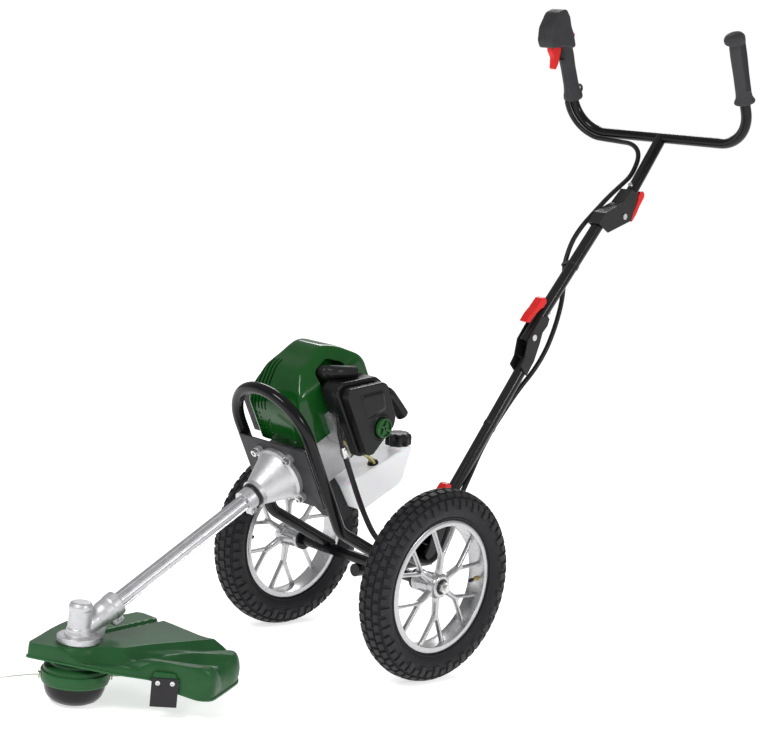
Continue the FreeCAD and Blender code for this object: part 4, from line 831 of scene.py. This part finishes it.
def fuel_tank():
    outline = rounded([(84, -132), (92, -141), (192, -148), (204, -143), (250, -99), (240, -91), (88, -72),
                       (79, -80)], [10, 12, 12, 14, 8, 10, 12, 10])
    shell = prism("tank_block", outline, -49.5, 59.5, ENGINE, axes="yzx")
    neck_place = ENGINE @ moved(44, 222, -100, -24, "X")
    neck = lathe("tank_neck", [(0, 0), (15, 0), (15, 26), (0, 26)], neck_place, 48)
    seam_line = [(y * 1.012 - 2, z * 1.012 + 1.4) for y, z in outline]
    seam = prism("tank_seam", seam_line, 3.6, 6.4, ENGINE, axes="yzx")
    whole = moulded("tank_body", [shell, neck, seam], 1.5, 16)
    dress(whole, TANK_WHITE, "frame", ("fuel_tank",), sharp=60)
    grommet = lathe("tank_grommet", [(0, -3), (9, -3), (11, 0), (11, 3), (8.5, 4.5), (7, 8), (0, 8)],
                    ENGINE @ moved(45, 158, -82, 7, "X"), 40)
    dress(grommet, SHEATH, "frame")
    cap = lathe("fuel_cap_lobed", [(0, 26), (15.3, 25), (15.3, 17.4), (23, 17.2), (25.2, 19), (25.4, 34),
                                   (24, 38), (19, 40.4), (9, 40.8), (0, 40.8)], neck_place, 108, lobes=9,
                depth=4.4)
    dress(cap, BLACK_PLASTIC, "tank_cap", ("fuel_cap",), sharp=40)
    for index in range(2):
        side = HOSE_GAP * index
        hose = cord_mesh(f"fuel_hose{index}", [(62 + side, 92, 23), (66 + side, 112, -18),
                                               (52 + side, 150, -58), (41 + side, 158, -82)], 2.9, ENGINE)
        dress(hose, HOSE_YELLOW, "frame", ("fuel_hoses",) if index == 0 else (), sharp=60)


# ---------------------------------------------------------------- shaft and gear head

def shaft():
    """The fluted alloy tube from the gear head to the cone, and the black damper ring at the cone."""
    start, end, radius = -447.0, -67.0, 14.0
    ring = []
    flutes = 8
    for index in range(flutes):
        for share, depth in ((0.0, 0), (0.16, 0), (0.32, 0), (0.40, 1.3), (0.60, 1.3), (0.68, 0), (0.84, 0)):
            angle = 2 * math.pi * (index + share) / flutes
            ring.append(((radius - depth) * math.cos(angle), (radius - depth) * math.sin(angle)))
    tube = prism("fluted_tube", ring, start, end, ENGINE, axes="xzy")
    dress(tube, SHAFT_ALLOY, "frame", ("shaft_tube",), sharp=2)
    seal = lathe("damper_ring", [(14, 0), (22, 0), (23, 1.5), (23, 5), (20, 7.5), (14, 7.5)],
                 ENGINE @ moved(0, -88.5, 0, -90, "X"), 64)
    dress(seal, SHEATH, "frame")


def screw_head(name, place, radius, body):
    """A socket cap head standing on local Z."""
    head = lathe(name, [(0, 0), (radius, 0), (radius, 3), (radius * 0.9, 3.6), (radius * 0.5, 3.6),
                        (radius * 0.5, 1.6), (0, 1.6)], place, 24)
    dress(head, BRIGHT_STEEL, body, sharp=30)


def gear_case():
    """The cast head: a capped barrel, the sloping sleeve with its clamp lug, and the flange."""
    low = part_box("gear_case")[0][2] / MM
    barrel = lathe("head_barrel", [(0, low + 4), (22, low + 4), (22, low + 16), (21, 123), (21, 127),
                                   (19.4, 128.5), (19.2, 158), (20.2, 159.5), (20.2, 165), (17.8, 170),
                                   (15, 172), (0, 172)], HEAD, 72)
    flange = lathe("head_flange", [(0, low), (34.5, low), (35.5, low + 1.2), (35.5, low + 10.5),
                                   (34.4, low + 11.6), (25, low + 12.4), (0, low + 12.4)], HEAD, 96)
    sleeve_foot = ENGINE @ moved(0, -495.4, 0)
    sleeve_place = sleeve_foot @ moved(turn=-90, axis="X")
    sleeve = lathe("head_sleeve", [(0, 0), (17, 0), (17.5, 36), (18.5, 44), (21, 54), (21, 68), (22.2, 69),
                                   (22.2, 84), (21, 86), (0, 86)], sleeve_place, 64)
    rib = pillow("head_rib", rounded([(-50, -30), (-14, -8), (-2, -18), (-24, -44)], 4), -4, 4, 1.5,
                 ENGINE @ moved(0, -440, 0), axes="yzx", steps=2)
    lug = pillow("head_lug", rounded([(58, -19), (82, -19), (84, -32), (62, -34)], 5), -9, 9, 2.5,
                 sleeve_foot, axes="yzx", steps=3)
    casting = moulded("head_casting", [barrel, flange, sleeve, lug, rib], 1.0, 4)
    carve(casting, [prism("lug_split", [(56, -36), (88, -36), (88, -18), (56, -18)], -0.9, 0.9,
                          sleeve_foot, axes="yzx")])
    dress(casting, CAST_ALLOY, "frame", ("gear_case",), sharp=50)


# ---------------------------------------------------------------- guard and trimmer head

# Corners of the guard's rim round the head's axis: x, y and the height of its lower edge above the ground.
GUARD_RIM = [(-35, -80, 78), (62, -20, 75), (90, 12, 70), (110, 42, 66), (124, 66, 62), (138, 86, 46),
             (181, 117, 36), (192, 137, 36), (172, 182, 38), (150, 232, 42), (118, 244, 52), (78, 213, 72),
             (-19, 211, 78), (-98, 205, 78), (-125, 123, 78), (-112, 58, 78), (-85, 2, 78)]
GUARD_ROUNDING = [10, 30, 24, 14, 12, 8, 12, 12, 26, 14, 14, 20, 24, 14, 24, 34, 24]
CREST = [(-40, -100), (-9, -74), (16, -33), (40, 14), (60, 47), (64, 100), (80, 176), (92, 230)]
FAN_CENTRE = (-6, -40)
FAN_CREASES = (43, 60)
GROOVE_DEPTH = 6
BAND_DEPTH = 3.5
BREAK_DROP = 21
SCOOP_DROP = 5
CREASE_RISE = 13
HEM_HEIGHT = 3.5


def clamp(value):
    """The value held between 0 and 1."""
    return min(max(value, 0), 1)


def blend_step(value, start, end):
    """Rises smoothly from 0 at start to 1 at end."""
    share = clamp((value - start) / (end - start))
    return share * share * (3 - 2 * share)


def crest_side(x, y):
    """Signed distance from the guard's crest line, positive towards the scoop."""
    best = None
    for (x1, y1), (x2, y2) in zip(CREST, CREST[1:]):
        along = Vector((x2 - x1, y2 - y1))
        share = clamp(Vector((x - x1, y - y1)).dot(along) / along.length_squared)
        away = Vector((x - x1 - along.x * share, y - y1 - along.y * share))
        side = along.x * away.y - along.y * away.x
        if best is None or away.length < abs(best):
            best = -math.copysign(away.length, side)
    return best


def ridge(value, centre, half, flat):
    """1 over a band of half width flat, falling to 0 at half."""
    return 1 - blend_step(abs(value - centre), flat, half)


def fan_angle(x, y):
    """The bearing of a place on the guard from the point where its creases meet."""
    return math.degrees(math.atan2(y - FAN_CENTRE[1], x - FAN_CENTRE[0]))


def guard_height(x, y):
    """The skin's height over the deck's top face at a place on the guard."""
    side = crest_side(x, y)
    if side < 0:
        across_grooves = x + 0.14 * y
        groove = ridge(across_grooves, -15, 9, 5) * clamp((y - 62) / 8)
        band = ridge(across_grooves, -78, 7, 3) * clamp((y - 40) / 14)
        return -GROOVE_DEPTH * groove - BAND_DEPTH * band
    reach = math.hypot(x, y)
    drop = BREAK_DROP * clamp((side - 1) / 23) + SCOOP_DROP * clamp((side - 40) / 80)
    grow = clamp((reach - 58) / 70) * clamp((side - 10) / 26)
    creases = sum(ridge(fan_angle(x, y), angle, 7.5, 1.6) for angle in FAN_CREASES)
    return (CREASE_RISE * creases * grow - drop) * blend_step(reach, 35, 44)


def resampled(loop, spacing):
    """The closed loop with its points spread evenly."""
    points = [Vector(point) for point in loop + loop[:1]]
    result = []
    left = 0.0
    for start, end in zip(points, points[1:]):
        length = (end - start).length
        while left < length:
            result.append(tuple(start.lerp(end, left / length)))
            left += spacing
        left -= length
    return result


def rounded_rim(corners, reaches, steps):
    """A closed line through space whose corners turn within their own reach along the sides."""
    result = []
    longest = 0.45
    for own_reach, (corner, before, after) in zip(reaches, corners_of(corners)):
        reach = min(own_reach, longest * before.length, longest * after.length)
        result += bend(corner, before, after, reach, steps)
    return result


def guard():
    """The debris shield: a deck that breaks down along a crest into a creased scoop with a deep wall."""
    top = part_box("gear_case")[0][2] / MM
    rim = resampled(rounded_rim(GUARD_RIM, GUARD_ROUNDING, 7), 3.0)
    rows = 72
    wall_rows = 7
    vertices, faces = [], []
    for x, y, low in rim:
        reach = math.hypot(x, y)
        deep = blend_step(80 - low, 4, 42)
        turn_in = 4 + 15 * deep
        for row in range(rows):
            radius = 21 + (reach - turn_in - 21) * row / (rows - 1)
            across, along = x / reach * radius, y / reach * radius
            vertices.append((across, along, top - 0.3 + guard_height(across, along)))
        edge = vertices[-1]
        rib = 5.0 * sum(ridge(fan_angle(x, y), angle, 6.5, 3.0) for angle in FAN_CREASES) * deep
        for row in range(1, wall_rows + 1):
            share = row / wall_rows
            out = (turn_in - 2.5) * math.sin(math.pi / 2 * share) + rib * math.sin(math.pi * share) ** 0.5
            down = (edge[2] - low - 4) * (1 - math.cos(math.pi / 2 * share))
            vertices.append((edge[0] + x / reach * out, edge[1] + y / reach * out, edge[2] - down))
        vertices.append((x, y, low + HEM_HEIGHT))
        vertices.append((x, y, low))
    stride = rows + wall_rows + 2
    for index in range(len(rim)):
        after = (index + 1) % len(rim)
        for row in range(stride - 1):
            faces.append((index * stride + row, after * stride + row,
                          after * stride + row + 1, index * stride + row + 1))
    sheet = new_mesh("guard_moulding", vertices, faces, HEAD)
    ease = sheet.modifiers.new("ease", "SMOOTH")
    ease.factor = 0.4
    ease.iterations = 2
    wall = sheet.modifiers.new("wall", "SOLIDIFY")
    wall.thickness = 2.6 * MM
    wall.offset = -1
    baked(sheet)
    dress(sheet, GUARD_GREEN, "frame", ("debris_guard",), sharp=24)
    place = HEAD @ moved(141, 76, 0, 52)
    tab = pillow("cutter_tab", rounded([(-22, 52), (20, 46), (24, 60), (16, 78), (-20, 80)], 6), 1.6, 9, 1.2,
                 place, axes="xzy", steps=3)
    dress(tab, GUARD_GREEN, "frame", sharp=40)
    for index in range(2):
        screw_head(f"cutter_screw{index}", place @ moved(-12 + 24 * index, -1.0, 63, 90, "X"), 4.2, "frame")


def trimmer_head():
    """The stepped line head with its eyelets, and the glossy bump knob that slides inside its skirt."""
    profile = [(12, 73.8), (40, 73.8), (43, 71.5), (43.5, 67), (50, 66), (53, 63.5), (54, 58), (57, 57),
               (57.6, 55.5), (57.6, 44), (56.4, 42.6), (56.4, 40), (55, 36.7), (53.4, 36.7), (53.4, 53),
               (12, 56)]
    case = lathe("head_case", profile, HEAD, 128)
    dress(case, GUARD_GREEN, "trimmer_head", ("trimmer_housing",), sharp=36)
    for index, angle in enumerate((-121, 59)):
        outlet = HEAD @ Matrix.Rotation(math.radians(angle), 4, "Z") @ moved(52, 0, 46, 90, "Y")
        eyelet = lathe(f"line_eyelet{index}", [(1.6, 0), (6, 0), (6, 7), (7, 8), (6.6, 9.4), (4, 9.4),
                                               (1.6, 7)], outlet, 32)
        dress(eyelet, EYELET_STEEL, "trimmer_head", sharp=30)
    bowl = lathe("bump_bowl", [(0, 0), (18, 0.4), (30, 2.6), (40, 7.5), (47, 16), (50.5, 26), (51.4, 34),
                               (51.2, 36.2), (49.8, 36.5), (48.8, 34), (46.5, 20), (30, 7), (0, 4)], HEAD, 96)
    dress(bowl, BOWL_BLACK, "bump_button", ("bump_knob",), sharp=40)


# ---------------------------------------------------------------- handles

def throttle_handle():
    """Both halves of the pistol grip with its housing, split down the middle, and the trigger's blade."""
    place = BAR @ Matrix.Translation((-BAR_HALF, 0, 0))
    head = rounded([(16, 190), (16.5, 222), (13, 240), (14, 262), (6, 283), (-20, 282), (-50, 258),
                    (-62, 232), (-60, 214), (-24, 206)], [6, 10, 12, 12, 14, 22, 26, 16, 10, 10])
    for side, low, high in (("left", 0.3, 24.0), ("right", -24.0, -0.3)):
        stem = lathe(f"stem_{side}", [(0, 74), (19, 74), (21.5, 77), (21.5, 85), (18.5, 96), (17, 110),
                                      (16.6, 150), (17.8, 176), (17, 212), (0, 212)], place, 48)
        housing = prism("housing_" + side, head, -20.5, 20.5, place, axes="yzx")
        shape = moulded(f"throttle_case_{side}", [stem, housing], 1.3, 26)
        half = prism("half_space", [(-90, 60), (60, 60), (60, 300), (-90, 300)], low, high, place, axes="yzx")
        boolean(shape, half, "INTERSECT")
        slot = [(-54, 172), (-13, 172), (-13, 219), (-54, 219)]
        button = [(8, 207.2), (30, 207.2), (30, 218.8), (8, 218.8)]
        rocker = [(8, 262.5), (30, 262.5), (30, 274.6), (8, 274.6)]
        carve(shape, [prism("trigger_slot", slot, -6.8, 6.8, place, axes="yzx"),
                      prism("lockout_slot", button, -4.7, 4.7, place, axes="yzx"),
                      prism("switch_slot", rocker, -4.7, 4.7, place, axes="yzx")])
        dress(shape, MATTE_BLACK, "handlebars", ("throttle_shell_" + side,), sharp=50)
    eye = ring_mesh("grip_hanger_eye", 8.5, 2.8, place @ moved(0, 25, 90, 90, "Y"))
    dress(eye, MATTE_BLACK, "handlebars")
    blade = [(-18, 215), (-50, 217), (-52, 204), (-47, 188), (-55, 166), (-48, 161), (-36, 170), (-26, 186),
             (-18, 198)]
    trigger = moulded("trigger_blade", [prism("trigger_shape", blade, -6.2, 6.2, place, axes="yzx")], 0.9, 8)
    dress(trigger, RED_PLASTIC, "trigger", ("trigger",), sharp=60)


def hand_grip():
    """The rubber grip: a bottom flange, a ribbed body and a mushroom cap that leans forward."""
    place = BAR @ Matrix.Translation((BAR_HALF, 0, 95))
    body = [(0, 0), (20.5, 0), (21.8, 1.5), (21.8, 5), (20, 8), (17.4, 13), (16.4, 22), (16.4, 60),
            (17.4, 100), (17.0, 126), (18, 136), (0, 140)]
    core = lathe("grip_core", body, place, 64)
    cap = lathe("grip_cap", [(0, 0), (17, 0), (21.5, 4), (22, 11), (18, 17.5), (9, 20.5), (0, 21)],
                place @ moved(-1.5, -3.5, 130, 9, "X"), 64)
    whole = moulded("grip_rubber", [core, cap], 1.2, 8)
    cutters = []
    for index in range(22):
        height = 30 + 4.4 * index
        cutters.append(pillow(f"grip_groove{index}", [(8, -30), (30, -30), (30, 30), (8, 30)],
                              height, height + 1.8, 0.3, place @ moved(5.2, 0, 0), steps=1))
    carve(whole, cutters)
    dress(whole, GRIP_FOAM, "handlebars", ("hand_grip",), sharp=50)


def cam_lever(pin, hand, node, body):
    """A red cam lever: a fat eye on the clamp bolt and a flat blade that lies along the tube."""
    place = column(pin) @ Matrix.Translation((0, hand * 24, 72))
    outline = [(-8, 5), (-8, -6), (-3, -15), (1, -30), (3, -56), (13, -61), (14, -40), (11, -22),
               (10, 4), (4, 11), (-4, 10)]
    blade = prism(node + "_shape", [(hand * y, z) for y, z in outline], -10, 10, place, axes="yzx")
    whole = moulded(node + "_blade", [blade], 1.0, 12)
    dress(whole, RED_PLASTIC, body, (node,), sharp=60)


# ---------------------------------------------------------------- throttle cable

# Points stand in millimetres from the ground point under the axle.
FRAME_RUN = [(100, -165, 411), (100, -135, 355), (101, -102, 298), (101, -68, 252), (97, -22, 222),
             (84, 24, 206), (66, 72, 186), (50, 120, 168), (42, 164, 166), (36, 196, 192), (30, 214, 228),
             (22, 238, 266), (14, 264, 298), (3, 296, 331), (-4, 324, 371), (-6, 355, 413)]
LOWER_RUN = [(-6, 355, 413), (-5, 389, 456), (-4, 424, 496), (-4, 463, 531), (-4, 490, 566), (-5, 506, 594),
             (-6, 521, 630), (-9, 535, 674), (-15, 542, 712), (-22, 546, 752)]
UPPER_RUN = [(-22, 546, 752), (-27, 560, 790), (-27, 592, 832), (-23, 630, 868), (-22.5, 668, 900),
             (-22.5, 706, 926), (-23, 742, 950), (-30, 771, 995)]
# Points along the bar: x, height up the bar's plane and distance in front of it.
BAR_RUN = [(-56, -8, 27), (-100, -9, 19.5), (-146, -8, 17), (-174.7, -6, 17), (-212.3, 15.7, 17),
           (-234, 53.3, 17), (-234, 75, 16.5)]


def throttle_cable():
    """The sheathed cable in three lengths that meet in ties and bend beside the three hinges."""
    radius = 5.2
    bar_points = [MACHINE.inverted() @ BAR @ Vector((x, -forward, rise)) for x, rise, forward in BAR_RUN]
    runs = (
        ("cable_to_base", FRAME_RUN, ("engine_cable", "lower_cable"), ("frame", "lower_column"), 8, 12),
        ("cable_to_column", LOWER_RUN, ("middle_cable",), ("lower_column", "middle_column"), 3, 7),
        ("cable_to_bar", UPPER_RUN + bar_points, ("upper_cable",), ("middle_column", "handlebars"), 1, 5),
    )
    for name, points, nodes, bodies, start, end in runs:
        cable = cord_mesh(name, points, radius, MACHINE, 20)
        cable.data.materials.clear()
        cable.data.materials.append(SHEATH)
        cable.data.polygons.foreach_set("use_smooth", [True] * len(cable.data.polygons))
        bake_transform(cable)
        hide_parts(*nodes)
    ferrule = lathe("cable_ferrule", [(3.4, -4), (6.6, -4), (7, -2.5), (7, 12), (5.6, 13.5), (5.6, 17),
                                      (3.4, 17)], MACHINE @ moved(*FRAME_RUN[0], 28, "X"), 32)
    dress(ferrule, BRIGHT_STEEL, "frame")
    inner = cord_mesh("cable_core_sheath", [(100, -168, 414), (100, -180, 438), (96, -184, 462),
                                            (86, -178, 486), (74, -172, 500)], 3.6, MACHINE, 16)
    dress(inner, SHEATH, "frame", sharp=60)


def belt_loop(first, second, steps=24):
    """The outline of a belt round two circles, each given as x, y and radius."""
    (x1, y1, r1), (x2, y2, r2) = first, second
    away = math.atan2(y2 - y1, x2 - x1)
    spread = math.acos((r1 - r2) / max(math.hypot(x2 - x1, y2 - y1), r1 + 0.1))
    points = []
    for step in range(steps + 1):
        angle = away + spread + (2 * math.pi - 2 * spread) * step / steps
        points.append((x1 + r1 * math.cos(angle), y1 + r1 * math.sin(angle)))
    for step in range(steps // 2 + 1):
        angle = away - spread + 2 * spread * step / (steps // 2)
        points.append((x2 + r2 * math.cos(angle), y2 + r2 * math.sin(angle)))
    return points


def band_mesh(name, outer, inner, low, high, place):
    """A closed strap between two loops of equal length."""
    rings = ((outer, low), (outer, high), (inner, high), (inner, low))
    vertices = [(x, y, level) for loop, level in rings for x, y in loop]
    return new_mesh(name, vertices, grid_faces(len(rings), len(outer), looped=True), place)


def cable_ties():
    """Flat ties round the tubes and the cable, where the cable's lengths meet."""
    tube_radius = 12.5
    ties = (
        ("tie_lower", "lower_column", LOWER_RUN[0], column("base")),
        ("tie_middle", "middle_column", UPPER_RUN[0], column("lower")),
    )
    for name, body, point, tube in ties:
        cable = tube.inverted() @ MACHINE @ Vector(point)
        outer = belt_loop((0, 0, tube_radius + 1.0), (cable.x, cable.y, 6.4))
        inner = belt_loop((0, 0, tube_radius + 0.1), (cable.x, cable.y, 5.4))
        band = band_mesh(name, outer, inner, cable.z - 4, cable.z + 4, tube)
        dress(band, SHEATH, body, sharp=40)


# ---------------------------------------------------------------- build

def build():
    dress_nodes()
    for side, tyre_name, rim_name in ((1, "tyre_left", "rim_left"), (-1, "tyre_right", "rim_right")):
        tyre(side, tyre_name)
        rim(side, rim_name)
    engine_cowl()
    plug_boot()
    filter_cover()
    filter_knob()
    starter_handle()
    fuel_tank()
    shaft()
    gear_case()
    guard()
    trimmer_head()
    throttle_handle()
    hand_grip()
    cam_lever("base", -1, "base_lever", "base_cam")
    cam_lever("lower", -1, "lower_lever", "lower_cam")
    cam_lever("upper", 1, "upper_lever", "upper_cam")
    throttle_cable()
    cable_ties()


add_camera()
add_studio()
build()
